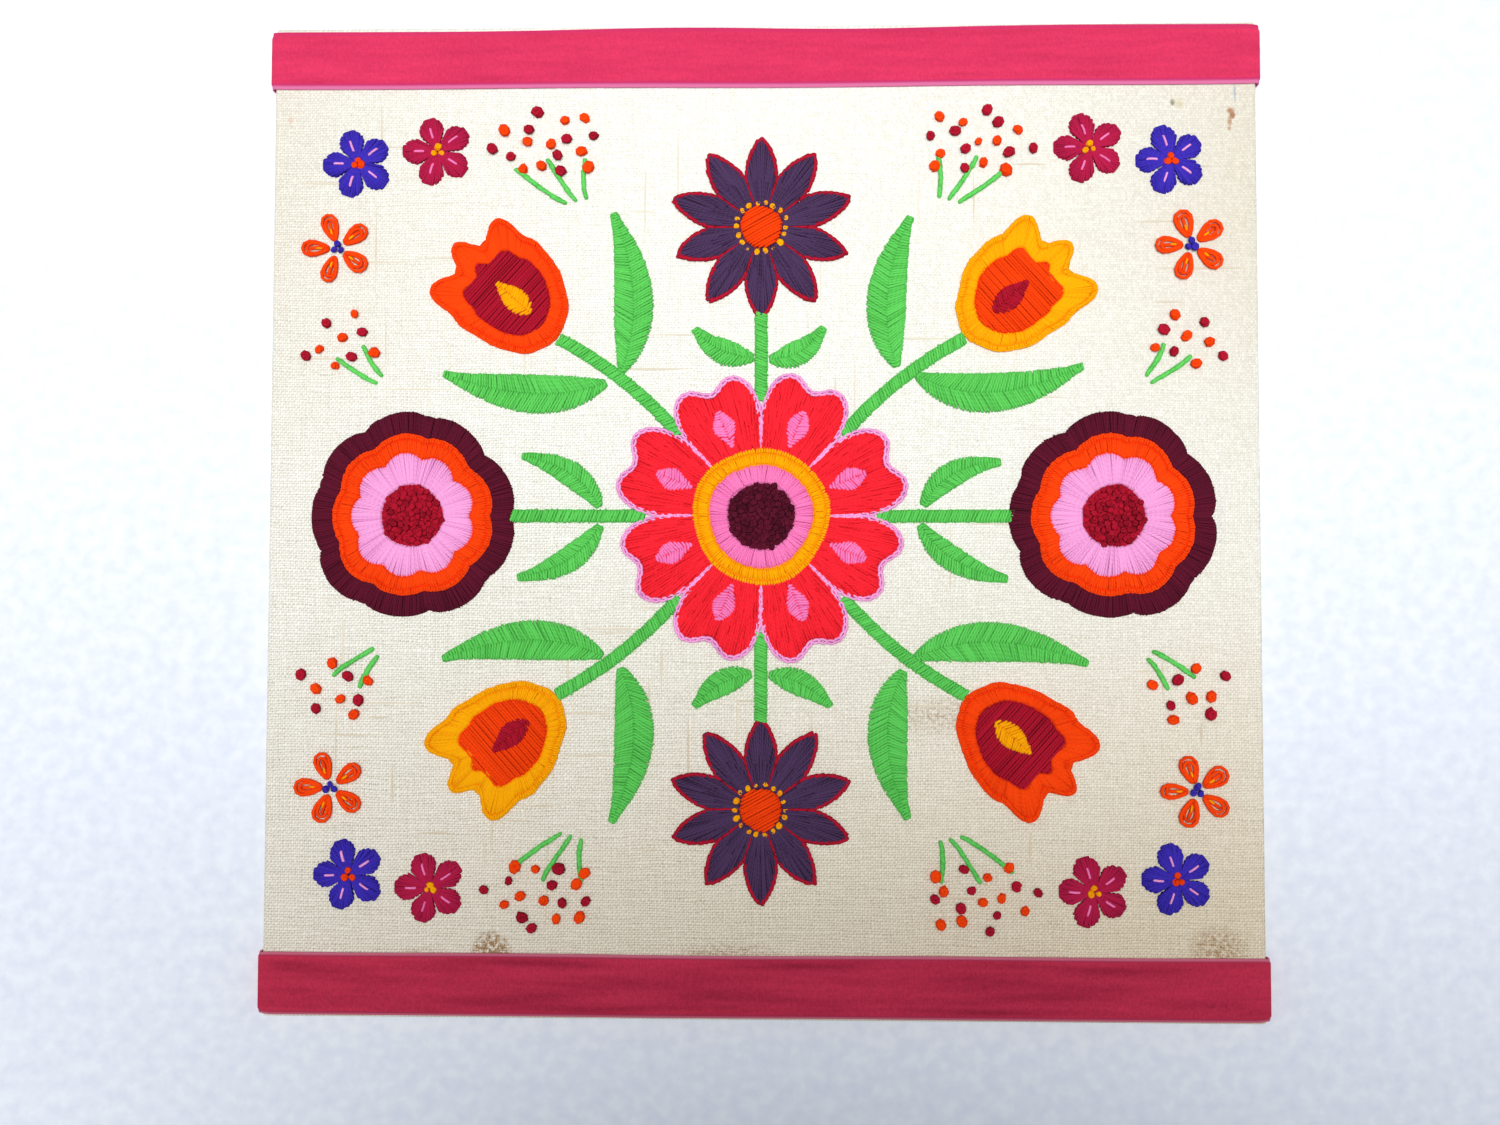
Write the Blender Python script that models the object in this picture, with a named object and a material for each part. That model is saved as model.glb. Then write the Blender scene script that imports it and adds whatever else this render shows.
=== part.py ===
"""Embroidered linen panel with a velvet ribbon round each end, lying face up.

The linen is stretched over a stiff board and stands here as one slab. A velvet ribbon lies across
its top and another across its bottom, and each turns round both sides and ends on the back. The wool
embroidery stands up from the linen as low solids: a rosette in the middle, asters above and below it,
cockades left and right, and in each corner a tulip on a leafy stem with a cluster of florets.

X runs across the panel, Y up the picture and Z out of its face. The origin is on the surface that the
panel lies on, under its middle. All sizes are metres.
"""

import math

import bmesh
import bpy
from mathutils import Vector

MM = 0.001
GAP = 0.3 * MM

# Linen panel: outer size of the cloth on its board
PANEL_WIDTH = 402 * MM
PANEL_HEIGHT = 404 * MM
PANEL_THICK = 5 * MM
PANEL_EDGE_ROUND = 1.5 * MM
PANEL_EDGE_STEPS = 3

# Velvet ribbon, an inch wide
RIBBON_WIDTH = 25 * MM
RIBBON_THICK = 1 * MM
RIBBON_INSET = 1 * MM
RIBBON_RETURN = 30 * MM
RIBBON_BULGE = 2.2 * MM
RIBBON_STEPS_ACROSS = 5
RIBBON_STEPS_ALONG = 30
RIBBON_STEPS_ROUND = 7
# Soft creases in a ribbon's front: their height, and how many waves and swells there are
RIPPLE = 0.45 * MM
RIPPLE_WAVES_ACROSS = 2.3
RIPPLE_WAVES_ALONG = 3.1
RIPPLE_SWELLS_ALONG = 1.4
# How far the inner edge of a ribbon strays from a straight line, and its waves in the panel's width
EDGE_STRAY = 0.4 * MM
EDGE_WAVES = 2
EDGE_SWELLS = 0.7

# Heights of the stack, from the surface up
PANEL_BACK = RIBBON_THICK + GAP
PANEL_FACE = PANEL_BACK + PANEL_THICK
RIBBON_FRONT = PANEL_FACE + GAP + RIBBON_THICK / 2
STITCH_BASE = PANEL_FACE + GAP
# How far stitches stand up: at the edge of a patch, over its satin and at a core of knots
WALL = 0.7 * MM
SATIN = 1.5 * MM
PADDED_SATIN = 1.8 * MM
KNOTS = 2.6 * MM

# The four corners of the design, as signs of X and Y
QUADRANTS = {"ne": (1, 1), "nw": (-1, 1), "sw": (-1, -1), "se": (1, -1)}

ROSETTE_RADIUS = 60 * MM
ROSETTE_VALLEY = 34 * MM
ROSETTE_RING = 27 * MM
ROSETTE_CORE = 19 * MM
ROSETTE_PETALS = 8
# Each rosette petal has two lobes: where they are across its half width, and the depth between them
LOBE_PLACE = 0.42
LOBE_NOTCH = 0.2

ASTER_RADIUS = 38 * MM
ASTER_VALLEY = 19 * MM
ASTER_CORE = 11 * MM
ASTER_PETALS = 10
ASTER_Y = 118 * MM

COCKADE_RADIUS = 42 * MM
COCKADE_VALLEY = 38.5 * MM
COCKADE_CORE = 14 * MM
COCKADE_SCALLOPS = 9
COCKADE_X = 142 * MM

FLORET_RADIUS = 14.5 * MM
FLORET_VALLEY = 6.5 * MM
FLORET_PETALS = 5
# Centres of the three florets of a corner, in its own quadrant
FLORET_PLACES = {
    "corner": (166 * MM, 145 * MM),
    "upper": (133 * MM, 150 * MM),
    "side": (174 * MM, 110 * MM),
}

# Tulip: its outline about its centre, turned from its tip
TULIP_CENTRE = (101.4 * MM, 89.3 * MM)
TULIP_TURN = math.radians(41.8)
TULIP_OUTLINE = [
    # degrees from the tip, radius
    (0, 33 * MM),
    (17, 25 * MM),
    (36, 34.5 * MM),
    (60, 25.5 * MM),
    (90, 22 * MM),
    (125, 21.5 * MM),
    (155, 23.5 * MM),
    (180, 25 * MM),
]

STEM_HALF = 2.4 * MM
LEAF_HALF = 8 * MM
SMALL_LEAF_HALF = 5.2 * MM
LEAF_TIP_HALF = 0.6 * MM
STEM_STEPS = 6
LEAF_STEPS = 9
# Middle lines as start, pull and end points of one smooth bend, in millimetres, where X and Y are plus
TULIP_STEM = ((38.4, 38.4), (56, 58), (81.2, 71.2))
TULIP_LEAVES = {
    "inner": ((56.4, 61.5), (44, 88), (60, 124)),
    "outer": ((63, 56.2), (90, 43), (130, 59)),
}
SIDE_STEM = ((54, 0), (76, 0), (99, 0))
SIDE_LEAF = ((66, 3.6), (74, 21), (97, 25))
TOP_STEM = ((0, 54), (0, 66), (0, 79))
TOP_LEAF = ((3.6, 64), (18, 65), (28, 77))

# Base colour of each cloth and yarn as 0 to 1 linear red, green and blue, and its roughness
FINISHES = {
    "linen": ((0.76, 0.69, 0.54), 0.92),
    "velvet": ((0.56, 0.035, 0.105), 0.85),
    "coral_wool": ((0.86, 0.030, 0.045), 0.9),
    "violet_wool": ((0.06, 0.035, 0.36), 0.9),
    "maroon_wool": ((0.10, 0.010, 0.028), 0.9),
    "gold_wool": ((0.93, 0.41, 0.008), 0.9),
    "orange_wool": ((0.88, 0.11, 0.010), 0.9),
    "magenta_wool": ((0.45, 0.020, 0.10), 0.9),
    "green_wool": ((0.06, 0.43, 0.065), 0.9),
}


def finish(name):
    """The Principled material of one cloth or yarn, made once."""
    found = bpy.data.materials.get(name)
    if found:
        return found
    colour, roughness = FINISHES[name]
    made = bpy.data.materials.new(name)
    made.use_nodes = True
    shader = made.node_tree.nodes["Principled BSDF"]
    shader.inputs["Base Color"].default_value = (*colour, 1)
    shader.inputs["Roughness"].default_value = roughness
    shader.inputs["Metallic"].default_value = 0
    return made


def add_object(name, shape, finish_name, smooth_below=math.radians(50)):
    """Turns a bmesh into a named object with its normals out and its finish on."""
    bmesh.ops.recalc_face_normals(shape, faces=shape.faces)
    mesh = bpy.data.meshes.new(name)
    shape.to_mesh(mesh)
    shape.free()
    mesh.shade_smooth()
    mesh.set_sharp_from_angle(angle=smooth_below)
    mesh.materials.append(finish(finish_name))
    made = bpy.data.objects.new(name, mesh)
    bpy.context.scene.collection.objects.link(made)
    return made


def linen_panel():
    """The linen on its board: a slab whose edges are rounded where the cloth turns over them."""
    shape = bmesh.new()
    bmesh.ops.create_cube(shape, size=1)
    middle = Vector((0, 0, PANEL_BACK + PANEL_THICK / 2))
    for vertex in shape.verts:
        x, y, z = vertex.co
        vertex.co = middle + Vector((x * PANEL_WIDTH, y * PANEL_HEIGHT, z * PANEL_THICK))
    bmesh.ops.bevel(
        shape,
        geom=shape.edges[:],
        offset=PANEL_EDGE_ROUND,
        segments=PANEL_EDGE_STEPS,
        profile=0.5,
        affect="EDGES",
    )
    add_object("linen_panel", shape, "linen")


def ribbon_path():
    """Middle line of a ribbon in X and Z, from the end of one return to the end of the other."""
    back = RIBBON_THICK / 2
    middle = (RIBBON_FRONT + back) / 2
    half_rise = (RIBBON_FRONT - back) / 2
    bulge = RIBBON_BULGE - RIBBON_THICK / 2
    edge = PANEL_WIDTH / 2
    right = [(edge - RIBBON_RETURN, back), (edge - RIBBON_RETURN / 2, back)]
    for i in range(RIBBON_STEPS_ROUND + 1):
        angle = math.pi * (i / RIBBON_STEPS_ROUND - 0.5)
        right.append((edge + bulge * math.cos(angle), middle + half_rise * math.sin(angle)))
    across = [
        (edge * (1 - 2 * i / RIBBON_STEPS_ALONG), RIBBON_FRONT) for i in range(1, RIBBON_STEPS_ALONG)
    ]
    left = [(-x, z) for x, z in reversed(right)]
    return right + across + left


def ribbon_ripple(x, across):
    """Height of the soft creases along a ribbon's front, none at its sides and edges."""
    run = x / PANEL_WIDTH
    wave = math.sin(2 * math.pi * (RIPPLE_WAVES_ACROSS * across + RIPPLE_WAVES_ALONG * run))
    swell = math.sin(2 * math.pi * RIPPLE_SWELLS_ALONG * run + 1)
    fade = (1 - (2 * run) ** 6) * math.sin(math.pi * across)
    return RIPPLE * (1 + wave * swell) / 2 * fade


def ribbon(name, side):
    """A velvet ribbon round the panel's top or bottom end, whose sign of Y is side."""
    outer_edge = PANEL_HEIGHT / 2 - RIBBON_INSET
    shape = bmesh.new()
    rows = []
    for x, z in ribbon_path():
        turn = 2 * math.pi * x / PANEL_WIDTH
        stray = EDGE_STRAY * math.sin(EDGE_WAVES * turn + side) * math.cos(EDGE_SWELLS * turn)
        on_front = z == RIBBON_FRONT and abs(x) < PANEL_WIDTH / 2
        row = []
        for i in range(RIBBON_STEPS_ACROSS + 1):
            across = i / RIBBON_STEPS_ACROSS
            y = side * (outer_edge - (RIBBON_WIDTH + stray) * across)
            lift = ribbon_ripple(x, across) if on_front else 0
            row.append(shape.verts.new((x, y, z + lift)))
        rows.append(row)
    for row, following in zip(rows, rows[1:]):
        for i in range(RIBBON_STEPS_ACROSS):
            shape.faces.new((row[i], row[i + 1], following[i + 1], following[i]))
    made = add_object(name, shape, "velvet")
    wall = made.modifiers.new("Thickness", "SOLIDIFY")
    wall.thickness = RIBBON_THICK
    wall.offset = 0


def raised_patch(name, centre, outline, sides, rings, finish_name):
    """A low domed patch of stitches whose outline is a radius for each direction from its centre.

    Each ring is (share of the outline, radius added to it, height), from the wall's foot inwards.
    """
    shape = bmesh.new()
    loops = []
    for share, added, height in rings:
        loop = []
        for i in range(sides):
            angle = 2 * math.pi * i / sides
            radius = share * outline(angle) + added
            loop.append(
                shape.verts.new(
                    (
                        centre[0] + radius * math.cos(angle),
                        centre[1] + radius * math.sin(angle),
                        STITCH_BASE + height,
                    )
                )
            )
        loops.append(loop)
    for loop, following in zip(loops, loops[1:]):
        for i in range(sides):
            j = (i + 1) % sides
            shape.faces.new((loop[i], loop[j], following[j], following[i]))
    shape.faces.new(reversed(loops[0]))
    top = shape.verts.new((centre[0], centre[1], STITCH_BASE + rings[-1][2]))
    for i in range(sides):
        shape.faces.new((loops[-1][i], loops[-1][(i + 1) % sides], top))
    return add_object(name, shape, finish_name)


def heart_petals(angle):
    """Outline of the rosette: round petals, each with a notch in its outer edge."""
    step = 2 * math.pi / ROSETTE_PETALS
    across = abs((angle % step) / step * 2 - 1)
    if across < LOBE_PLACE:
        reach = 1 - LOBE_NOTCH * math.cos(math.pi / 2 * across / LOBE_PLACE) ** 2
    else:
        reach = math.sqrt(1 - ((across - LOBE_PLACE) / (1 - LOBE_PLACE)) ** 2)
    return ROSETTE_VALLEY + (ROSETTE_RADIUS - ROSETTE_VALLEY) * reach


def pointed_petals(angle):
    """Outline of an aster: lancet petals that come to a point."""
    step = 2 * math.pi / ASTER_PETALS
    across = abs((angle % step) / step * 2 - 1)
    return ASTER_VALLEY + (ASTER_RADIUS - ASTER_VALLEY) * (1 - across) ** 0.75


def scallops(angle):
    """Outline of a cockade: a round edge of shallow scallops."""
    step = 2 * math.pi / COCKADE_SCALLOPS
    across = (angle % step) / step * 2 - 1
    return COCKADE_VALLEY + (COCKADE_RADIUS - COCKADE_VALLEY) * math.sqrt(1 - across**2)


def floret_petals(angle):
    """Outline of a floret: round-ended petals that meet near its middle."""
    step = 2 * math.pi / FLORET_PETALS
    across = abs((angle % step) / step * 2 - 1)
    return FLORET_VALLEY + (FLORET_RADIUS - FLORET_VALLEY) * (1 - across**2) ** 0.6


def tulip_outline(angle):
    """Outline of a tulip, eased between the radii of its table, the same on both sides of its tip."""
    turned = abs(math.degrees((angle + math.pi) % (2 * math.pi) - math.pi))
    for (start, near), (end, far) in zip(TULIP_OUTLINE, TULIP_OUTLINE[1:]):
        if turned <= end:
            eased = 0.5 - 0.5 * math.cos(math.pi * (turned - start) / (end - start))
            return near + (far - near) * eased
    return TULIP_OUTLINE[-1][1]


def rosette():
    """The middle flower: heart-shaped petals, a stitched ring and a core of knots."""
    rings = [
        (1, 0, 0),
        (1, 0, WALL),
        (0.93, 0, SATIN),
        (0.3, 0.75 * ROSETTE_RING, PADDED_SATIN),
        (0, ROSETTE_RING, SATIN),
        (0, ROSETTE_CORE + GAP, SATIN),
        (0, ROSETTE_CORE, KNOTS),
    ]
    raised_patch("rosette", (0, 0), heart_petals, 80, rings, "coral_wool")


def aster(name, side):
    """A flower of pointed petals above or below the rosette."""
    rings = [
        (1, 0, 0),
        (1, 0, WALL),
        (0.6, 0.35 * ASTER_CORE, SATIN),
        (0, ASTER_CORE + GAP, SATIN),
        (0, ASTER_CORE, KNOTS),
    ]
    raised_patch(name, (0, side * ASTER_Y), pointed_petals, 80, rings, "violet_wool")


def cockade(name, side):
    """A round flower of scalloped bands left or right of the rosette."""
    rings = [
        (1, 0, 0),
        (1, 0, WALL),
        (0.94, 0, SATIN),
        (0, COCKADE_CORE + GAP, SATIN),
        (0, COCKADE_CORE, KNOTS),
    ]
    raised_patch(name, (side * COCKADE_X, 0), scallops, 54, rings, "maroon_wool")


def floret(name, centre):
    """A small flower of five petals."""
    rings = [
        (1, 0, 0),
        (1, 0, WALL),
        (0.5, 0, SATIN),
    ]
    raised_patch(name, centre, floret_petals, 25, rings, "orange_wool")


def tulip(name, signs):
    """A tulip whose tip points into its corner of the panel."""
    turn = math.atan2(signs[1] * math.sin(TULIP_TURN), signs[0] * math.cos(TULIP_TURN))
    rings = [
        (1, 0, 0),
        (1, 0, WALL),
        (0.85, 0, SATIN),
        (0.4, 0, PADDED_SATIN),
    ]
    centre = (signs[0] * TULIP_CENTRE[0], signs[1] * TULIP_CENTRE[1])
    raised_patch(name, centre, lambda angle: tulip_outline(angle - turn), 40, rings, "gold_wool")


def bend(points, signs, share):
    """Point and direction at a share of the smooth bend through start, pull and end points."""
    start, pull, end = (Vector((x * signs[0], y * signs[1])) * MM for x, y in points)
    place = start * (1 - share) ** 2 + pull * 2 * share * (1 - share) + end * share**2
    along = (pull - start) * (1 - share) + (end - pull) * share
    return place, along.normalized()


def raised_strip(name, points, signs, half_width, steps, finish_name):
    """A stem or leaf: a low rounded section carried along its middle line.

    half_width gives half the strip's width for each share of its length.
    """
    shape = bmesh.new()
    sections = []
    for i in range(steps + 1):
        share = i / steps
        place, along = bend(points, signs, share)
        across = Vector((-along.y, along.x))
        half = half_width(share)
        section = []
        # Share of the half width and height of each corner of the section
        for offset, height in ((-1, 0), (-1, WALL), (0, SATIN), (1, WALL), (1, 0)):
            point = place + across * half * offset
            section.append(shape.verts.new((point.x, point.y, STITCH_BASE + height)))
        sections.append(section)
    corners = len(sections[0])
    for section, following in zip(sections, sections[1:]):
        for i in range(corners):
            j = (i + 1) % corners
            shape.faces.new((section[i], section[j], following[j], following[i]))
    shape.faces.new(sections[0])
    shape.faces.new(reversed(sections[-1]))
    return add_object(name, shape, finish_name)


def stem(name, points, signs):
    """A green stem of even width."""
    raised_strip(name, points, signs, lambda share: STEM_HALF, STEM_STEPS, "green_wool")


def leaf(name, points, signs, widest):
    """A green leaf, widest below its middle and narrow at both ends."""

    def half_width(share):
        swell = max(0.0, math.sin(math.pi * share**0.8)) ** 0.9
        return LEAF_TIP_HALF + (widest - LEAF_TIP_HALF) * swell

    raised_strip(name, points, signs, half_width, LEAF_STEPS, "green_wool")


def corner(name, signs):
    """What grows in one corner: a tulip, its stem and leaves, and three florets."""
    tulip(f"tulip_{name}", signs)
    stem(f"stem_{name}", TULIP_STEM, signs)
    for place, points in TULIP_LEAVES.items():
        leaf(f"leaf_{name}_{place}", points, signs, LEAF_HALF)
    for place, (x, y) in FLORET_PLACES.items():
        floret(f"floret_{name}_{place}", (x * signs[0], y * signs[1]))


def main():
    """Clears the scene, then builds the cloth, the ribbons and the embroidery."""
    for old in list(bpy.data.objects):
        bpy.data.objects.remove(old)
    linen_panel()
    ribbon("ribbon_top", 1)
    ribbon("ribbon_bottom", -1)
    rosette()
    for place, side in (("north", 1), ("south", -1)):
        aster(f"aster_{place}", side)
        stem(f"stem_{place}", TOP_STEM, (1, side))
        for hand, sign in (("left", -1), ("right", 1)):
            leaf(f"leaf_{place}_{hand}", TOP_LEAF, (sign, side), SMALL_LEAF_HALF)
    for place, side in (("east", 1), ("west", -1)):
        cockade(f"cockade_{place}", side)
        stem(f"stem_{place}", SIDE_STEM, (side, 1))
        for hand, sign in (("upper", 1), ("lower", -1)):
            leaf(f"leaf_{place}_{hand}", SIDE_LEAF, (side, sign), SMALL_LEAF_HALF)
    for name, signs in QUADRANTS.items():
        corner(name, signs)


main()
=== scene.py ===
"""Looks of an embroidered linen panel with a velvet ribbon round its top and bottom ends.

Every stitch is a length of wool laid as real geometry: satin, long and short, blanket, chain and stem
stitches, detached daisy loops and French knots. The linen and the ribbons are closed sheets. Needlework
is worked out in millimetres on the linen's face and turned to metres where a mesh is made. X runs
across the panel, Y up the picture and Z out of its face.
"""

import logging
import math
from dataclasses import dataclass, field
from enum import Enum
from typing import Callable, Sequence

import bpy
import numpy as np
from mathutils import Matrix, Vector

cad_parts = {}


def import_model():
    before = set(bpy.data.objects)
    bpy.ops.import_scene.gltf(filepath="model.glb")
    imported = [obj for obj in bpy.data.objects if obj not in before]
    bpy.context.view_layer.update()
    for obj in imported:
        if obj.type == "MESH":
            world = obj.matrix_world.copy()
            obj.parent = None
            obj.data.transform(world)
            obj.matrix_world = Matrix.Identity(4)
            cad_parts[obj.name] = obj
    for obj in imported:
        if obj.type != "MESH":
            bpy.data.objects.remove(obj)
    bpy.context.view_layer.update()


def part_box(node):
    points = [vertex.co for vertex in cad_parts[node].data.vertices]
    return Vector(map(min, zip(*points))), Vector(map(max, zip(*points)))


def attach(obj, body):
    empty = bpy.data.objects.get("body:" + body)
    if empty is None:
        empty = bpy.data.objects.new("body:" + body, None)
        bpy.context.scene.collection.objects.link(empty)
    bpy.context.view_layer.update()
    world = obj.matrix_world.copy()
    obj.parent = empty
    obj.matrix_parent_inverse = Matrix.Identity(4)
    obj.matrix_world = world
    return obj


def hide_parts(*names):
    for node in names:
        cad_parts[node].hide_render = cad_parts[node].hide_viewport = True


Array = np.ndarray
Outline = Callable[[Array], Array]
Tree = bpy.types.NodeTree
Socket = bpy.types.NodeSocket
Value = Socket | float | tuple[float, ...]

MM = 0.001
BODY = "root"
KNOT_HEIGHT = 2.8
PHOTO_WIDTH_PX = 1500
SENSOR_WIDTH_MM = 36.0
# One unit of the Object coordinates
UNIT_MM = 1000
GOLDEN_TURN = math.pi * (3 - math.sqrt(5))

log = logging.getLogger("embroidered_panel")


class Yarn(Enum):
    """The colours of wool, each named by the record's slot."""

    CORAL = "coral_wool"
    CRIMSON = "crimson_wool"
    MAROON = "maroon_wool"
    MAGENTA = "magenta_wool"
    PINK = "pink_wool"
    LAVENDER = "lavender_wool"
    ORANGE = "orange_wool"
    GOLDEN = "golden_wool"
    AUBERGINE = "aubergine_wool"
    VIOLET = "violet_wool"
    GREEN = "green_wool"


def linear(hex_colour: str) -> tuple[float, float, float, float]:
    """Turns an sRGB hex colour to linear red, green, blue and an alpha of 1.

    Args:
        hex_colour: six hex digits after a hash.

    Returns:
        The colour as Blender's sockets take it.
    """
    parts = [int(hex_colour[i : i + 2], 16) / 255 for i in (1, 3, 5)]
    red, green, blue = (p / 12.92 if p <= 0.04045 else ((p + 0.055) / 1.055) ** 2.4 for p in parts)
    return (red, green, blue, 1.0)


def add_node(
    tree: Tree, kind: str, inputs: dict[int | str, object] | None = None, **settings: object
) -> bpy.types.Node:
    """Adds a node with its settings and links.

    Args:
        tree: the node tree that takes it.
        kind: the node's type, less the words that all types start with.
        inputs: for each input socket, a value or the output socket that feeds it.
        settings: the node's own properties.

    Returns:
        The new node.
    """
    node = tree.nodes.new(f"ShaderNode{kind}")
    for name, value in settings.items():
        setattr(node, name, value)
    for key, value in (inputs or {}).items():
        if isinstance(value, bpy.types.NodeSocket):
            tree.links.new(value, node.inputs[key])
        else:
            node.inputs[key].default_value = value
    return node


def calc(tree: Tree, operation: str, *values: Value) -> Socket:
    """The result of a sum on numbers or sockets."""
    return add_node(tree, "Math", dict(enumerate(values)), operation=operation).outputs[0]


def between(tree: Tree, value: Socket, low: float, high: float, top: float = 1.0) -> Socket:
    """A value's place between low and high, from 0 to top and no further."""
    inputs = {"Value": value, "From Min": low, "From Max": high, "To Max": top}
    return add_node(tree, "MapRange", inputs).outputs[0]


def blend(tree: Tree, share: Value, first: Value, second: Value, blend_type: str = "MIX") -> Socket:
    """A colour that goes from the first to the second as the share goes from 0 to 1."""
    inputs = {0: share, 6: first, 7: second}
    return add_node(tree, "Mix", inputs, data_type="RGBA", blend_type=blend_type).outputs[2]


def split(tree: Tree, vector: Socket) -> tuple[Socket, Socket, Socket]:
    """A vector's three parts."""
    return tuple(add_node(tree, "SeparateXYZ", {0: vector}).outputs)


def joined_up(tree: Tree, *parts: Value) -> Socket:
    """A vector made of up to three parts."""
    return add_node(tree, "CombineXYZ", dict(enumerate(parts))).outputs[0]


def noise(tree: Tree, place: Socket, grain_mm: float, detail: float = 3.0, roughness: float = 0.5) -> Socket:
    """Soft noise from 0 to 1 whose largest grain has a size in millimetres."""
    inputs = {"Vector": place, "Scale": 1 / (grain_mm * MM), "Detail": detail, "Roughness": roughness}
    return add_node(tree, "TexNoise", inputs).outputs["Fac"]


def stretched(tree: Tree, place: Socket, *grain_mm: float) -> Socket:
    """A place measured in grains of its own size along each axis, for a noise of UNIT_MM."""
    scale = tuple(1 / (MM * size) for size in grain_mm)
    return add_node(tree, "Mapping", {"Vector": place, "Scale": scale}).outputs[0]


def object_place(tree: Tree) -> Socket:
    """The Object coordinates."""
    return add_node(tree, "TexCoord").outputs["Object"]


def mark(tree: Tree, name: str) -> Socket:
    """A mesh attribute's number."""
    return add_node(tree, "Attribute", attribute_name=name).outputs["Fac"]


def new_material(name: str) -> tuple[bpy.types.Material, Tree]:
    """A fresh material without nodes, and its tree."""
    material = bpy.data.materials.new(name)
    material.use_nodes = True
    material.node_tree.nodes.clear()
    return material, material.node_tree


def fabric(
    tree: Tree,
    colour: Socket,
    relief: Socket,
    depth_mm: float,
    roughness: float,
    gloss: float,
    halo: float = 0.0,
    halo_tint: str = "#FFFFFF",
) -> None:
    """Feeds the material's output from one rough shader with a bump.

    Args:
        tree: the material's node tree.
        colour: its colour.
        relief: height of the bump, about 0 to 1.
        depth_mm: what a height of 1 stands for.
        roughness: of its faint gloss.
        gloss: specular level, low for all cloth.
        halo: weight of the fibres' scatter at grazing angles.
        halo_tint: its colour.
    """
    bump = add_node(tree, "Bump", {"Height": relief, "Strength": 0.5, "Distance": depth_mm * MM})
    inputs = {
        "Base Color": colour,
        "Roughness": roughness,
        "Specular IOR Level": gloss,
        "Sheen Weight": halo,
        "Sheen Roughness": 0.4,
        "Sheen Tint": linear(halo_tint),
        "Normal": bump.outputs["Normal"],
    }
    shader = add_node(tree, "BsdfPrincipled", inputs)
    add_node(tree, "OutputMaterial", {"Surface": shader.outputs["BSDF"]})


@dataclass(frozen=True)
class WoolFinish:
    """Matt crewel wool: two plies twisted together, with a soft halo of fibres.

    The twist gives slanting ridges along each strand. Painted shade makes the crown of a strand lighter
    than its flanks, where fibres shade each other. Roughness is high and the specular level low, because
    wool has no gloss to speak of.
    """

    yarn: Yarn
    lit: str
    deep: str
    halo: float = 0.1
    ply_pitch_mm: float = 1.9
    fibre_mm: float = 0.35

    def material(self) -> bpy.types.Material:
        """The wool's material, made once for each yarn.

        Lightness adds up the strand's own tone, the sine of the twist's phase, which paints the ridges
        lighter than the grooves, the sine of the turn round the strand, which is 1 on its crown and paints
        shade on its flanks, a fine noise and a slow one, each with its weight.
        """
        name = f"twisted_{self.yarn.value}"
        made = bpy.data.materials.get(name)
        if made:
            return made
        material, tree = new_material(name)
        along, around, _ = split(tree, add_node(tree, "UVMap", uv_map="yarn").outputs["UV"])
        place = object_place(tree)
        turns = calc(tree, "MULTIPLY", along, 1 / self.ply_pitch_mm)
        phase = calc(tree, "MULTIPLY_ADD", around, 2.0, turns)
        ply = calc(tree, "SINE", calc(tree, "MULTIPLY", phase, 2 * math.pi))
        # Painted shade: the crown of each strand lighter and its flanks darker.
        crown_shade = calc(tree, "SINE", calc(tree, "MULTIPLY_ADD", around, 2 * math.pi, math.pi / 6))
        fibres = noise(tree, place, self.fibre_mm, roughness=0.65)
        shade = mark(tree, "tone")
        for part, weight in ((ply, 0.16), (crown_shade, 0.8), (fibres, 0.6), (noise(tree, place, 14, 2), 0.45)):
            shade = calc(tree, "MULTIPLY_ADD", part, weight, shade)
        colour = blend(tree, between(tree, shade, 0.8, 1.85), linear(self.deep), linear(self.lit))
        relief = calc(tree, "MULTIPLY_ADD", fibres, 1.2, ply)
        fabric(tree, colour, relief, 0.08, 0.92, 0.12, self.halo, self.lit)
        return material


WOOLS = {
    finish.yarn: finish
    for finish in (
        WoolFinish(Yarn.CORAL, "#FF2836", "#C8101C"),
        WoolFinish(Yarn.CRIMSON, "#B5142E", "#6C0818"),
        WoolFinish(Yarn.MAROON, "#62142C", "#2E0614"),
        WoolFinish(Yarn.MAGENTA, "#B81C48", "#7C0C2C"),
        WoolFinish(Yarn.PINK, "#FC84C0", "#DA5498"),
        WoolFinish(Yarn.LAVENDER, "#FAAADE", "#C870AE"),
        WoolFinish(Yarn.ORANGE, "#FF4806", "#D02A00"),
        WoolFinish(Yarn.GOLDEN, "#FFB000", "#E87C00"),
        WoolFinish(Yarn.AUBERGINE, "#50385C", "#180E1E"),
        WoolFinish(Yarn.VIOLET, "#4030B4", "#1C1074"),
        WoolFinish(Yarn.GREEN, "#66D460", "#389632"),
    )
}


@dataclass(frozen=True)
class Stain:
    """A mark on the linen: its middle and reach in millimetres, how strong it is and its colour."""

    x: float
    y: float
    reach_x: float
    reach_y: float
    strength: float
    colour: str


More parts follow.
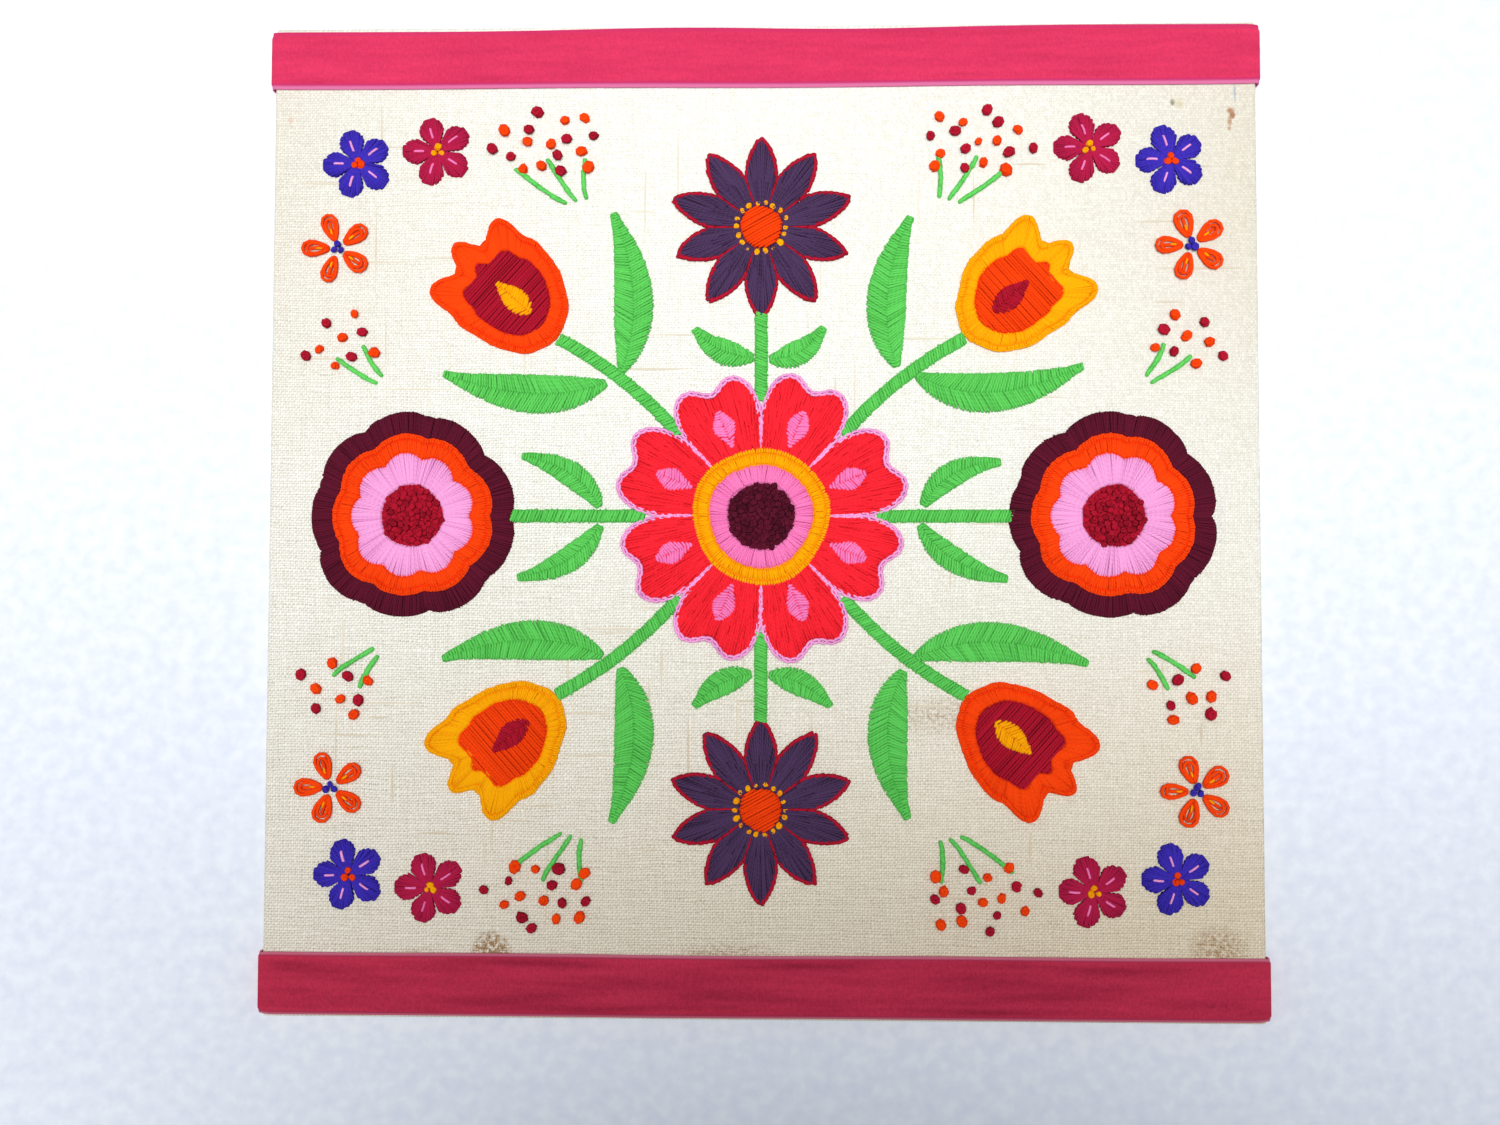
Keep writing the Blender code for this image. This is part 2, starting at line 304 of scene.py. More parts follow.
FOXING = "#94662A"
STAINS = (
    Stain(-102, -171, 9, 11, 4.0, FOXING),
    Stain(-128, -173, 16, 6, 1.2, FOXING),
    Stain(-6, -172, 26, 8, 1.2, FOXING),
    Stain(78, -74, 26, 9, 0.9, FOXING),
    Stain(188, -166, 13, 10, 1.6, FOXING),
    Stain(196.8, 171.4, 2.0, 1.7, 1.2, "#AA6C34"),
    Stain(197.5, 169.6, 1.4, 1.8, 1.5, "#A0602C"),
    Stain(196.4, 167.2, 1.2, 2.4, 1.1, "#B07844"),
    Stain(196.2, 164.2, 1.0, 1.2, 0.9, "#B88456"),
    Stain(173.4, 175, 1.3, 1.7, 1.2, "#747252"),
    Stain(176, 174.6, 2.4, 2.6, 0.5, "#C8B878"),
    Stain(-91, 160, 3, 2, 0.6, FOXING),
    Stain(-188, 170, 1.8, 1.8, 0.6, "#D8A48C"),
    Stain(191, 4, 1.4, 14, 0.4, "#8FA8C0"),
    Stain(198.6, 179, 0.6, 4.5, 0.9, "#86A0BC"),
)


@dataclass(frozen=True)
class LinenFinish:
    """Natural plain-weave linen, bleached unevenly, with slubs and a few old marks.

    Its threads lie 0.87 mm apart across and 1.05 mm down. The weave stands out most at the foot's left and
    is flatter towards the top right.
    """

    light: str = "#FFFFF8"
    thread: str = "#D2CBB6"
    hollow: str = "#857E68"
    foot_shade: str = "#F0E2CE"
    upper_side_tint: str = "#EBE5DC"
    warp_pitch_mm: float = 0.87
    weft_pitch_mm: float = 1.05

    def material(self) -> bpy.types.Material:
        """The linen's material."""
        material, tree = new_material("plain_weave_linen")
        place = self.unrolled(tree)
        height, hole, tone = self.weave(tree, place)
        cloth = blend(tree, tone, linear(self.thread), linear(self.light))
        colour = blend(tree, hole, cloth, linear(self.hollow))
        # Painted shade towards the foot and a tint at the upper sides, then the stains.
        colour = self.marks(tree, place, hole, self.painted_foot_shade_and_side_tint(tree, place, colour))
        fabric(tree, colour, height, 0.16, 0.9, 0.2, halo=0.08)
        return material

    def unrolled(self, tree: Tree) -> Socket:
        """The Object coordinates with Z added to X and to Y, so that threads go on down the panel's edges."""
        x, y, z = split(tree, object_place(tree))
        return joined_up(tree, calc(tree, "ADD", x, z), calc(tree, "ADD", y, z))

    def weave(self, tree: Tree, place: Socket) -> tuple[Socket, Socket, Socket]:
        """Plain weave, in which each thread goes over one and under the next.

        A slow noise shifts the place, so that threads wander, and one as fine as the threads makes some
        thick and some thin. With A the sine of pi times the place counted in warp threads and B the same
        for weft, the warp stands at |A| + 0.6 A B and the weft at |B| - 0.6 A B + 0.2, and the higher one
        shows. Painted shade makes the thread lighter where the cloth stands higher and with the crossings'
        swell, and a painted raking light adds the sine of pi times the difference of the counts.
        Each thread's tone is a noise of its own number that changes along it, and each crossing has a random
        one too. Where both threads are low is a hole of random darkness. How crisp all this looks falls in
        a straight line with y plus half of x.

        Args:
            tree: the node tree.
            place: the unrolled place.

        Returns:
            The height of the cloth, how dark the hole is and the thread's lightness with its painted light
            and shade.
        """
        inputs = {"Vector": place, "Scale": 1 / (22 * MM), "Detail": 3.0}
        wander = add_node(tree, "TexNoise", inputs).outputs["Color"]
        inputs = {0: wander, 1: (1.6 * MM,) * 3, 2: place}
        moved = add_node(tree, "VectorMath", inputs, operation="MULTIPLY_ADD").outputs[0]
        threads = ((self.warp_pitch_mm, (1.7, 30, UNIT_MM)), (self.weft_pitch_mm, (30, 1.9, UNIT_MM)))
        counts = []
        for part, (pitch, grain) in zip(split(tree, moved), threads):
            thickness = noise(tree, stretched(tree, place, *grain), UNIT_MM, 2, 0.6)
            uneven = calc(tree, "MULTIPLY_ADD", thickness, 1.6 * MM, part)
            counts.append(calc(tree, "DIVIDE", uneven, pitch * MM))
        waves = [calc(tree, "SINE", calc(tree, "MULTIPLY", count, math.pi)) for count in counts]
        crimp = calc(tree, "MULTIPLY", calc(tree, "MULTIPLY", *waves), 0.6)
        warp = calc(tree, "ADD", calc(tree, "ABSOLUTE", waves[0]), crimp)
        weft = calc(tree, "SUBTRACT", calc(tree, "ADD", calc(tree, "ABSOLUTE", waves[1]), 0.2), crimp)
        height = calc(tree, "MAXIMUM", warp, weft)
        tones = []
        for own, other in (counts, counts[::-1]):
            number = calc(tree, "MULTIPLY", calc(tree, "FLOOR", own), 3.7)
            slow = calc(tree, "MULTIPLY", other, 0.08)
            thread = joined_up(tree, number, slow, len(tones) * 9.0)
            tones.append(noise(tree, thread, UNIT_MM, 2, 0.7))
        x, y, _ = split(tree, place)
        fall = between(tree, calc(tree, "MULTIPLY_ADD", x, 0.5, y), 0.2, -0.15)
        crisp = calc(tree, "MULTIPLY_ADD", fall, 0.75, 0.25)
        # Painted light and shade: a raking light over the crossings, and lighter where the cloth stands
        # higher.
        painted_raking_light = calc(tree, "SINE", calc(tree, "MULTIPLY", calc(tree, "SUBTRACT", *counts), math.pi))
        relief = calc(tree, "MULTIPLY", calc(tree, "SUBTRACT", height, 1.1), 0.55)
        relief = calc(tree, "MULTIPLY_ADD", crimp, 0.4, calc(tree, "MULTIPLY_ADD", painted_raking_light, 0.25, relief))
        lightness_with_painted_shade = calc(tree, "MULTIPLY", relief, crisp)
        for part, weight in ((tones[0], 0.28), (tones[1], 0.28), (self.chance(tree, counts, "FLOOR"), 0.38)):
            lightness_with_painted_shade = calc(tree, "MULTIPLY_ADD", part, weight, lightness_with_painted_shade)
        openness = between(tree, noise(tree, place, 5, 4, 0.7), 0.3, 0.7)
        dark = calc(tree, "MULTIPLY", self.chance(tree, counts, "ROUND"), 0.65)
        dark = calc(tree, "MULTIPLY", calc(tree, "MULTIPLY_ADD", openness, 0.25, dark), crisp)
        hole = calc(tree, "MULTIPLY", between(tree, height, 1.0, 0.3), dark)
        return height, hole, between(tree, lightness_with_painted_shade, -0.3, 0.8)

    def chance(self, tree: Tree, counts: Sequence[Socket], operation: str) -> Socket:
        """A random value for each crossing (FLOOR) or each hole (ROUND) of the weave."""
        cell = joined_up(tree, *(calc(tree, operation, count) for count in counts))
        return add_node(tree, "TexWhiteNoise", {"Vector": cell}).outputs["Value"]

    def painted_foot_shade_and_side_tint(self, tree: Tree, place: Socket, colour: Socket) -> Socket:
        """Multiplies the colour by a painted shade at the foot, which also warms it, and by a tint that
        darkens the upper sides.

        The foot's share grows downwards and a little to the right. The sides' is 22 times the square of
        the place across in metres, counted from a little left of the middle, and grows upwards.

        Args:
            tree: the node tree.
            place: the unrolled place.
            colour: the colour so far.

        Returns:
            The colour with the painted foot shade and the sides' tint.
        """
        x, y, _ = split(tree, place)
        foot = calc(tree, "MULTIPLY", between(tree, y, 0.02, -0.17), calc(tree, "MULTIPLY_ADD", x, 1.5, 0.8))
        from_middle = calc(tree, "ADD", x, 0.01)
        side = calc(tree, "MULTIPLY", calc(tree, "MULTIPLY", from_middle, from_middle), 22.0)
        colour = blend(tree, foot, colour, linear(self.foot_shade), "MULTIPLY")
        share = calc(tree, "MULTIPLY", side, between(tree, y, -0.03, 0.12))
        return blend(tree, share, colour, linear(self.upper_side_tint), "MULTIPLY")

    def marks(self, tree: Tree, place: Socket, hole: Socket, colour: Socket) -> Socket:
        """Lays each stain over the cloth's colour.

        A stain fades from its middle as 1 minus the squared distance in units of its reach. A fine noise
        breaks up the large ones, and they are darkest in the holes, where old dirt sits.

        Args:
            tree: the node tree.
            place: the unrolled place.
            hole: how dark the weave's hole is.
            colour: the colour so far.

        Returns:
            The colour with all stains on it.
        """
        specks = between(tree, noise(tree, place, 1.7, 5, 0.8), 0.44, 0.58)
        broken = calc(tree, "MULTIPLY", specks, calc(tree, "MULTIPLY_ADD", hole, 1.2, 0.5))
        woven = calc(tree, "MULTIPLY_ADD", specks, 0.4, calc(tree, "ADD", hole, 0.55))
        for stain in STAINS:
            reach = (stain.reach_x * MM, stain.reach_y * MM, 1.0)
            inputs = {
                "Vector": place,
                "Location": (-stain.x * MM / reach[0], -stain.y * MM / reach[1], 0.0),
                "Scale": tuple(1 / r for r in reach),
            }
            centred = add_node(tree, "Mapping", inputs).outputs[0]
            squared = add_node(tree, "VectorMath", {0: centred, 1: centred}, operation="DOT_PRODUCT")
            cover = between(tree, squared.outputs["Value"], 1.0, 0.0, stain.strength)
            grained = broken if max(stain.reach_x, stain.reach_y) > 5 else woven
            cover = calc(tree, "MULTIPLY", cover, grained)
            colour = blend(tree, calc(tree, "MINIMUM", cover, 0.85), colour, linear(stain.colour))
        return colour


@dataclass(frozen=True)
class SlubFinish:
    """Thick soft-spun linen thread, lighter than the cloth, because it has fewer gaps between its fibres."""

    dull: str = "#DDD2BA"
    light: str = "#FFFBF0"

    def material(self) -> bpy.types.Material:
        """The slubs' material."""
        material, tree = new_material("slubbed_linen_thread")
        place = object_place(tree)
        fibres = noise(tree, place, 0.5)
        share = calc(tree, "MULTIPLY", fibres, mark(tree, "tone"))
        colour = blend(tree, share, linear(self.dull), linear(self.light))
        # The linen's painted foot shade and side tint fall on the slubs too.
        fabric(tree, LinenFinish().painted_foot_shade_and_side_tint(tree, place, colour), fibres, 0.05, 0.9, 0.2)
        return material


@dataclass(frozen=True)
class VelvetFinish:
    """Cerise rayon velvet ribbon: cut pile between two paler woven selvedges.

    The pile scatters light back at grazing angles, so the ribbon has a sheen. Where the pile leans another
    way it is a little lighter or darker in long soft patches, hatched across by its rows. The two ribbons
    are lit and shaded copies of one velvet: the second's colours are painted darker, a painted shade for
    the weaker light and sheen it gets. Creases on both are painted darker too.
    """

    name: str
    lit: str
    deep: str
    edge_line: str
    selvedge: str

    def material(self) -> bpy.types.Material:
        """The velvet's material."""
        material, tree = new_material(self.name)
        place = object_place(tree)
        edge = mark(tree, "edge")
        lean = noise(tree, stretched(tree, place, 34, 4, 34), UNIT_MM, 4, 0.6)
        pile = noise(tree, stretched(tree, place, 0.45, 1.6, 0.45), UNIT_MM, 3, 0.7)
        fine = noise(tree, place, 1.2, 3, 0.7)
        shade = calc(tree, "MULTIPLY", lean, 0.8)
        # The tone mark is the crease share, so its negative weight paints shade into the creases.
        for part, weight in ((pile, 0.8), (fine, 0.6), (mark(tree, "tone"), -0.4)):
            shade = calc(tree, "MULTIPLY_ADD", part, weight, shade)
        velvet = blend(tree, between(tree, shade, 0.6, 1.55), linear(self.deep), linear(self.lit))
        lined = blend(tree, between(tree, edge, 0.1, 0.5), velvet, linear(self.edge_line))
        colour = blend(tree, between(tree, edge, 0.45, 0.85), lined, linear(self.selvedge))
        fabric(tree, colour, pile, 0.2, 0.85, 0.15, halo=0.25, halo_tint="#FF9CBC")
        return material


# Lit and shaded copies of one velvet: the bottom ribbon's colours are painted darker.
VELVETS = {
    "ribbon_top": VelvetFinish("velvet_nap_to_light", "#EA3C66", "#BC264C", "#C4306C", "#D8709C"),
    "ribbon_bottom": VelvetFinish("velvet_nap_from_light", "#DA3656", "#961C36", "#AC3050", "#C8687E"),
}


@dataclass(frozen=True)
class PaperFinish:
    """Plain matt white paper for the floor, faintly blue and barely mottled."""

    light: str = "#F4F8FE"
    shade: str = "#E9EEF8"

    def material(self) -> bpy.types.Material:
        """The floor's material."""
        material, tree = new_material("matt_paper")
        mottle = noise(tree, object_place(tree), 6, 5)
        colour = blend(tree, between(tree, mottle, 0.35, 0.65), linear(self.shade), linear(self.light))
        fabric(tree, colour, mottle, 0.05, 0.95, 0.1)
        return material


@dataclass
class Surface:
    """A closed mesh as whole arrays, in millimetres.

    Attributes:
        points: places of the vertices, V by 3.
        quads: corners of each four-sided face, Q by 4.
        triangles: corners of each three-sided face, T by 3.
        uv: for each corner, quads first, its length along and its share around, or none.
        marks: for each named attribute, a number for each vertex.
    """

    points: Array
    quads: Array
    triangles: Array = field(default_factory=lambda: np.empty((0, 3), dtype=int))
    uv: Array | None = None
    marks: dict[str, Array] = field(default_factory=dict)

    def volume(self) -> float:
        """Signed volume, which is above zero where faces point out.

        It is a sixth of the sum of a . (b x c) over triangles with corners a, b and c.
        """
        halves = [self.quads[:, [0, 1, 2]], self.quads[:, [0, 2, 3]], self.triangles]
        corners = self.points[np.concatenate(halves)]
        return float(np.einsum("ij,ij->", corners[:, 0], np.cross(corners[:, 1], corners[:, 2])) / 6)

    def outward(self) -> "Surface":
        """The same surface with its faces pointing out."""
        if self.volume() >= 0:
            return self
        return Surface(self.points, self.quads[:, ::-1], self.triangles[:, ::-1], self.uv, self.marks)

    def to_object(self, name: str, material: bpy.types.Material) -> bpy.types.Object:
        """Makes the object, at the origin, with its place in its mesh.

        Args:
            name: the piece's name.
            material: its finish.

        Returns:
            The object, linked to the scene.
        """
        mesh = bpy.data.meshes.new(name)
        mesh.vertices.add(len(self.points))
        mesh.vertices.foreach_set("co", (self.points * MM).astype(np.float32).ravel())
        corners = np.concatenate([self.quads.ravel(), self.triangles.ravel()]).astype(np.int32)
        mesh.loops.add(len(corners))
        mesh.loops.foreach_set("vertex_index", corners)
        quad_starts = 4 * np.arange(len(self.quads))
        triangle_starts = 4 * len(self.quads) + 3 * np.arange(len(self.triangles))
        starts = np.concatenate([quad_starts, triangle_starts]).astype(np.int32)
        mesh.polygons.add(len(starts))
        mesh.polygons.foreach_set("loop_start", starts)
        mesh.polygons.foreach_set("use_smooth", np.ones(len(starts), dtype=bool))
        if self.uv is not None:
            layer = mesh.uv_layers.new(name="yarn")
            layer.uv.foreach_set("vector", self.uv.astype(np.float32).ravel())
        for label, values in self.marks.items():
            attribute = mesh.attributes.new(label, "FLOAT", "POINT")
            attribute.data.foreach_set("value", values.astype(np.float32))
        mesh.update(calc_edges=True)
        mesh.materials.append(material)
        made = bpy.data.objects.new(name, mesh)
        bpy.context.scene.collection.objects.link(made)
        return made


def joined(surfaces: Sequence[Surface]) -> Surface:
    """One surface made of several, each still closed by itself.

    Args:
        surfaces: strand surfaces with UVs and tones.

    Returns:
        The joined arrays.
    """
    offsets = np.cumsum([0] + [len(s.points) for s in surfaces])[:-1]
    quad_uv = [s.uv[: 4 * len(s.quads)] for s in surfaces]
    triangle_uv = [s.uv[4 * len(s.quads) :] for s in surfaces]
    return Surface(
        points=np.concatenate([s.points for s in surfaces]),
        quads=np.concatenate([s.quads + o for s, o in zip(surfaces, offsets)]),
        triangles=np.concatenate([s.triangles + o for s, o in zip(surfaces, offsets)]),
        uv=np.concatenate(quad_uv + triangle_uv),
        marks={"tone": np.concatenate([s.marks["tone"] for s in surfaces])},
    )


@dataclass
class Strands:
    """Many like lengths of yarn.

    Attributes:
        path: the middle line of each, N strands by S stations by 3.
        half_width: N by S.
        half_height: N by S.
        tone: how light each strand is, N.
    """

    path: Array
    half_width: Array
    half_height: Array
    tone: Array

    def surface(self, around: int) -> Surface:
        """Carries an ellipse along every middle line and closes both ends with a fan.

        At each station the sideways axis is the level direction square to the path, and the upward axis
        is the path's direction crossed with it. Point k of the ring is the middle plus half the width
        times the cosine of its turn sideways, plus half the height times its sine upwards.

        Args:
            around: corners of the ellipse.

        Returns:
            All the strands as one surface.
        """
        count, stations = self.path.shape[:2]
        along = np.gradient(self.path, axis=1)
        along /= np.linalg.norm(along, axis=2, keepdims=True)
        sideways = np.stack([-along[..., 1], along[..., 0], np.zeros((count, stations))], axis=2)
        sideways /= np.maximum(np.linalg.norm(sideways, axis=2, keepdims=True), 1e-6)
        upward = np.cross(along, sideways)
        turn = 2 * np.pi * (np.arange(around) + 0.5) / around
        wide = (self.half_width[..., None] * np.cos(turn))[..., None]
        high = (self.half_height[..., None] * np.sin(turn))[..., None]
        rings = self.path[:, :, None] + sideways[:, :, None] * wide + upward[:, :, None] * high
        poles = self.path[:, [0, -1]]
        points = np.concatenate([rings.reshape(-1, 3), poles.reshape(-1, 3)])

        index = np.arange(count * stations * around).reshape(count, stations, around)
        after = np.roll(index, -1, axis=2)
        quads = np.stack([index[:, :-1], after[:, :-1], after[:, 1:], index[:, 1:]], axis=3)
        pole = index.size + np.arange(2 * count).reshape(count, 2)
        first = np.stack([np.repeat(pole[:, :1], around, axis=1), after[:, 0], index[:, 0]], axis=2)
        last = np.stack([np.repeat(pole[:, 1:], around, axis=1), index[:, -1], after[:, -1]], axis=2)
        triangles = np.concatenate([first.reshape(-1, 3), last.reshape(-1, 3)])
        tone = np.concatenate([np.repeat(self.tone, stations * around), np.repeat(self.tone, 2)])
        return Surface(points, quads.reshape(-1, 4), triangles, self.uv(around), {"tone": tone})

    def uv(self, around: int) -> Array:
        """Length along the strand and share of the way round it, for each corner of the surface.

        Args:
            around: corners of the ellipse.

        Returns:
            The corners of all quads, then those of the triangles at the starts and at the ends.
        """
        steps = np.linalg.norm(np.diff(self.path, axis=1), axis=2)
        length = np.concatenate([np.zeros((len(steps), 1)), np.cumsum(steps, axis=1)], axis=1)
        share = np.arange(around + 1) / around
        u, low, high = np.broadcast_arrays(length[:, :, None], share[:-1], share[1:])
        here, ahead = slice(None, -1), slice(1, None)
        corners = ((here, low), (here, high), (ahead, high), (ahead, low))
        quads = np.stack([np.stack([u[:, at], part[:, at]], axis=3) for at, part in corners], axis=3)
        ends = [
            np.stack([np.stack([u[:, at], part[:, at]], axis=2) for part in parts], axis=2)
            for at, parts in ((0, (low, high, low)), (-1, (low, low, high)))
        ]
        return np.concatenate([part.reshape(-1, 2) for part in (quads, *ends)])


def polar(centre: Sequence[float], outline: Outline, angles: Array, inset: float = 0.0) -> Array:
    """Points of an outline given as a radius for each direction, drawn in by inset.

    The design was drawn by hand, so the radius swells and shrinks by two slow sines of the direction. They
    follow from the middle's place alone, which keeps all curves of one motif nested.

    Args:
        centre: the middle, in millimetres.
        outline: radius for each angle.
        angles: the directions, in radians.
        inset: how far inside the outline, in millimetres.

    Returns:
        The points, M by 2.
    """
    swell = 0.018 * np.sin(3 * angles + centre[0]) + 0.012 * np.sin(5 * angles + centre[1] + 1)
    radius = outline(angles) * (1 + swell) - inset
    return np.column_stack([centre[0] + radius * np.cos(angles), centre[1] + radius * np.sin(angles)])


def ring(radius: float) -> Outline:
    """An outline of even radius."""
    return lambda angles: np.full_like(angles, radius)


def petal_share(angles: Array, petals: int) -> Array:
    """How far each angle is from its petal's middle line: 0 on the line, 1 in the valley between petals."""
    step = 2 * np.pi / petals
    return np.abs((angles % step) / step * 2 - 1)


def walked(path: Array) -> Array:
    """Length from the start of a path to each of its points."""
    steps = np.linalg.norm(np.diff(path, axis=0), axis=1)
    return np.concatenate([[0.0], np.cumsum(steps)])


def read_at(places: Array, own: Array, curve: Array) -> Array:
    """A curve at given places, read linearly between its points, each at its own place."""
    return np.column_stack([np.interp(places, own, curve[:, i]) for i in range(2)])


def points_along(path: Array, places: Array) -> Array:
    """Points at given lengths along a path."""
    return read_at(places, walked(path), path)


def directions_along(path: Array, places: Array, reach: float = 0.6) -> Array:
    """Unit direction at given lengths along a path, from a point just behind to one just ahead."""
    ahead = points_along(path, places + reach) - points_along(path, places - reach)
    return ahead / np.maximum(np.linalg.norm(ahead, axis=1, keepdims=True), 1e-9)


def square_to(direction: Array) -> Array:
    """The level direction a quarter turn anticlockwise from each direction."""
    return np.stack([-direction[..., 1], direction[..., 0]], axis=-1)


def heading(angle: float) -> Array:
    """The level direction at an angle from X, in radians."""
    return np.array([math.cos(angle), math.sin(angle)])


def rungs(inner: Array, outer: Array, pitch: float) -> tuple[Array, Array]:
    """Ends of stitches that cross from one curve to another, spaced evenly along the outer one.

    Args:
        inner: M points.
        outer: M points that match them one to one.
        pitch: distance between stitches on the outer curve.

    Returns:
        Start points on the inner curve and end points on the outer one.
    """
    length = walked(outer)
    count = max(2, round(length[-1] / pitch))
    places = (np.arange(count) + 0.5) / count * length[-1]
    return read_at(places, length, inner), read_at(places, length, outer)


def chords(outline: Array, angle: float, pitch: float) -> tuple[Array, Array]:
    """Ends of level lines that cross a closed outline, pitch apart, all at one angle.

    The outline is turned so that the lines lie along X. Each edge that a line crosses gives a crossing,
    and the chord runs from the lowest to the highest of them.

    Args:
        outline: M points round the shape.
        angle: direction of the lines, in radians.
        pitch: distance between lines.

    Returns:
        Start and end points of the chords.
    """
    turn = np.array([[math.cos(angle), math.sin(angle)], [-math.sin(angle), math.cos(angle)]])
    turned = outline @ turn.T
    after = np.roll(turned, -1, axis=0)
    low, high = turned[:, 1].min(), turned[:, 1].max()
    count = max(1, round((high - low) / pitch))
    lines = low + (np.arange(count) + 0.5) / count * (high - low)
    crosses = (turned[None, :, 1] <= lines[:, None]) != (after[None, :, 1] <= lines[:, None])
    rise = np.where(crosses, after[None, :, 1] - turned[None, :, 1], 1.0)
    share = (lines[:, None] - turned[None, :, 1]) / rise
    x = turned[None, :, 0] + share * (after[:, 0] - turned[:, 0])[None, :]
    left = np.where(crosses, x, np.inf).min(axis=1)
    right = np.where(crosses, x, -np.inf).max(axis=1)
    return np.column_stack([left, lines]) @ turn, np.column_stack([right, lines]) @ turn


def bend(points: Sequence[Sequence[float]], signs: Sequence[int], count: int) -> Array:
    """A smooth bend through start, pull and end points: a curve of the second degree.

    Args:
        points: the three points, in millimetres.
        signs: 1 or -1 for X and for Y, which mirror the bend.
        count: points on the curve.

    Returns:
        Points of the curve.
    """
    start, pull, end = np.array(points, dtype=float) * np.array(signs)
    share = np.linspace(0, 1, count)[:, None]
    return start * (1 - share) ** 2 + pull * 2 * share * (1 - share) + end * share**2


@dataclass
class Needle:
    """A hand with a needle: turns the plan of a stitch into strands of yarn on the cloth.

    Attributes:
        face: height of the linen's face, in millimetres.
        seed: start of the random draws that make the work look hand sewn.
        width: width of a strand of yarn where it lies on the cloth.
        pitch: distance between strands that fill a shape.
        slant_pitch: distance between slanting strands, along their middle line.
    """

    face: float
    seed: int
    width: float = 1.22
    pitch: float = 1.12
    slant_pitch: float = 1.15
    hand: np.random.Generator = field(init=False)

    def __post_init__(self) -> None:
        """Starts the random draws."""
        self.hand = np.random.default_rng(self.seed)

    def tones(self, count: int, middle: float, spread: float = 0.13) -> Array:
        """Lightness of each of count strands, spread about a middle value."""
        return np.clip(self.hand.normal(middle, spread, count), 0, 1)

    def straight(
        self,
        start: Array,
        end: Array,
        lift: float | Array = 1.15,
        width: float | None = None,
        half_height: float = 0.6,
        unevenness: float = 0.13,
        tone: float = 0.45,
    ) -> Strands:
        """Straight stitches, each up through the cloth at its start and down at its end.

        In the plane a stitch runs from start to end with a slight bow, which is four times share times one
        less share. It climbs to its lift within a yarn's width of each end and stays there between.

        Args:
            start: N points.
            end: N points.
            lift: height of the strand's middle above the face.
            width: width of a strand, if not the needle's own.
            half_height: half the strand's height.
            unevenness: spread of each end about its planned place.
            tone: middle lightness.

        Returns:
            The strands.
        """
        count = len(start)
        start = start + self.hand.normal(0, unevenness, start.shape)
        end = end + self.hand.normal(0, unevenness, end.shape)
        reach = np.maximum(np.linalg.norm(end - start, axis=1), 0.5)
        dive = np.minimum(1.0 / reach, 0.28)
        share = np.stack(
            [0 * dive, 0.4 * dive, dive, 0.5 + 0 * dive, 1 - dive, 1 - 0.4 * dive, 1 + 0 * dive], axis=1
        )
        climb = np.array([-0.3, 0.45, 0.9, 1.0, 0.9, 0.45, -0.3])
        side = square_to((end - start) / reach[:, None])
        bow = self.hand.normal(0, 0.07, count)[:, None] * 4 * share * (1 - share)
        flat = start[:, None] + (end - start)[:, None] * share[..., None] + side[:, None] * bow[..., None]
        lifts = np.broadcast_to(lift, (count,)) + self.hand.normal(0, 0.05, count)
        path = np.concatenate([flat, (self.face + lifts[:, None] * climb)[..., None]], axis=2)
        taper = np.array([0.5, 0.85, 1.0, 1.0, 1.0, 0.85, 0.5])
        half = (width or self.width) / 2 * self.hand.normal(1, 0.06, count)[:, None] * taper
        tall = half_height * np.ones((count, 1)) * taper
        return Strands(path, half, tall, self.tones(count, tone))

    def fill(self, inner: Array, outer: Array, rows: int, lift: float, ragged: float = 0.0) -> Strands:
        """Long and short stitches, or satin in one row, that run from an inner curve to an outer one.

        A place is inner times (1 - v) plus outer times v, at u along the curves. Each row spans its share
        of v, and its number of stitches follows its own width, measured square to them. Row ends are
        ragged, and each row starts under the end of the one before.

        Args:
            inner: M points.
            outer: M points that match them one to one.
            rows: rows of stitches.
            lift: height of the strands' middles.
            ragged: spread of the row ends, as a share of v.

        Returns:
            The strands of all rows.
        """
        own = np.linspace(0, 1, len(inner))
        run = (outer - inner) / np.maximum(np.linalg.norm(outer - inner, axis=1, keepdims=True), 1e-6)
        starts, ends = [], []
        for row in range(rows):
            low, high = row / rows, (row + 1) / rows
            step = np.diff(inner * (1 - high) + outer * high, axis=0)
            width = np.abs(step[:, 0] * run[:-1, 1] - step[:, 1] * run[:-1, 0])
            spread = np.concatenate([[0.0], np.cumsum(width)])
            count = max(2, round(spread[-1] / self.pitch))
            u = np.interp((np.arange(count) + 0.5) / count * spread[-1], spread, own)
            near, far = read_at(u, own, inner), read_at(u, own, outer)
            draw = self.hand.uniform(-1, 1, (2, count)) * ragged
            v_start = np.clip(low + (draw[0] - ragged if row else 0 * draw[0]), 0, 1)[:, None]
            v_end = np.clip(high + (draw[1] + ragged if row < rows - 1 else 0 * draw[1]), 0, 1)[:, None]
            starts.append(near * (1 - v_start) + far * v_start)
            ends.append(near * (1 - v_end) + far * v_end)
        return self.straight(np.concatenate(starts), np.concatenate(ends), lift=lift)

    def blanket(self, inner: Array, outer: Array, pitch: float = 1.1) -> list[Strands]:
        """Blanket stitch: satin rungs over a lining, then a row of needle holes and a short rope-like edge.

        The holes are left where the rungs end and the short stitches of the edge begin, 2 mm from the edge.

        Args:
            inner: M points.
            outer: M points that match them one to one.
            pitch: distance between rungs.

        Returns:
            The lining, the rungs and the edge.
        """
        start, end = rungs(inner, outer, pitch)
        run = (end - start) / np.linalg.norm(end - start, axis=1, keepdims=True)
        holes = end - 2.0 * run
        return [
            self.lining(inner, outer),
            self.straight(start, holes, unevenness=0.1, tone=0.5),
            self.straight(holes + 0.1 * run, end, unevenness=0.06, tone=0.5),
            self.edging(outer),
        ]

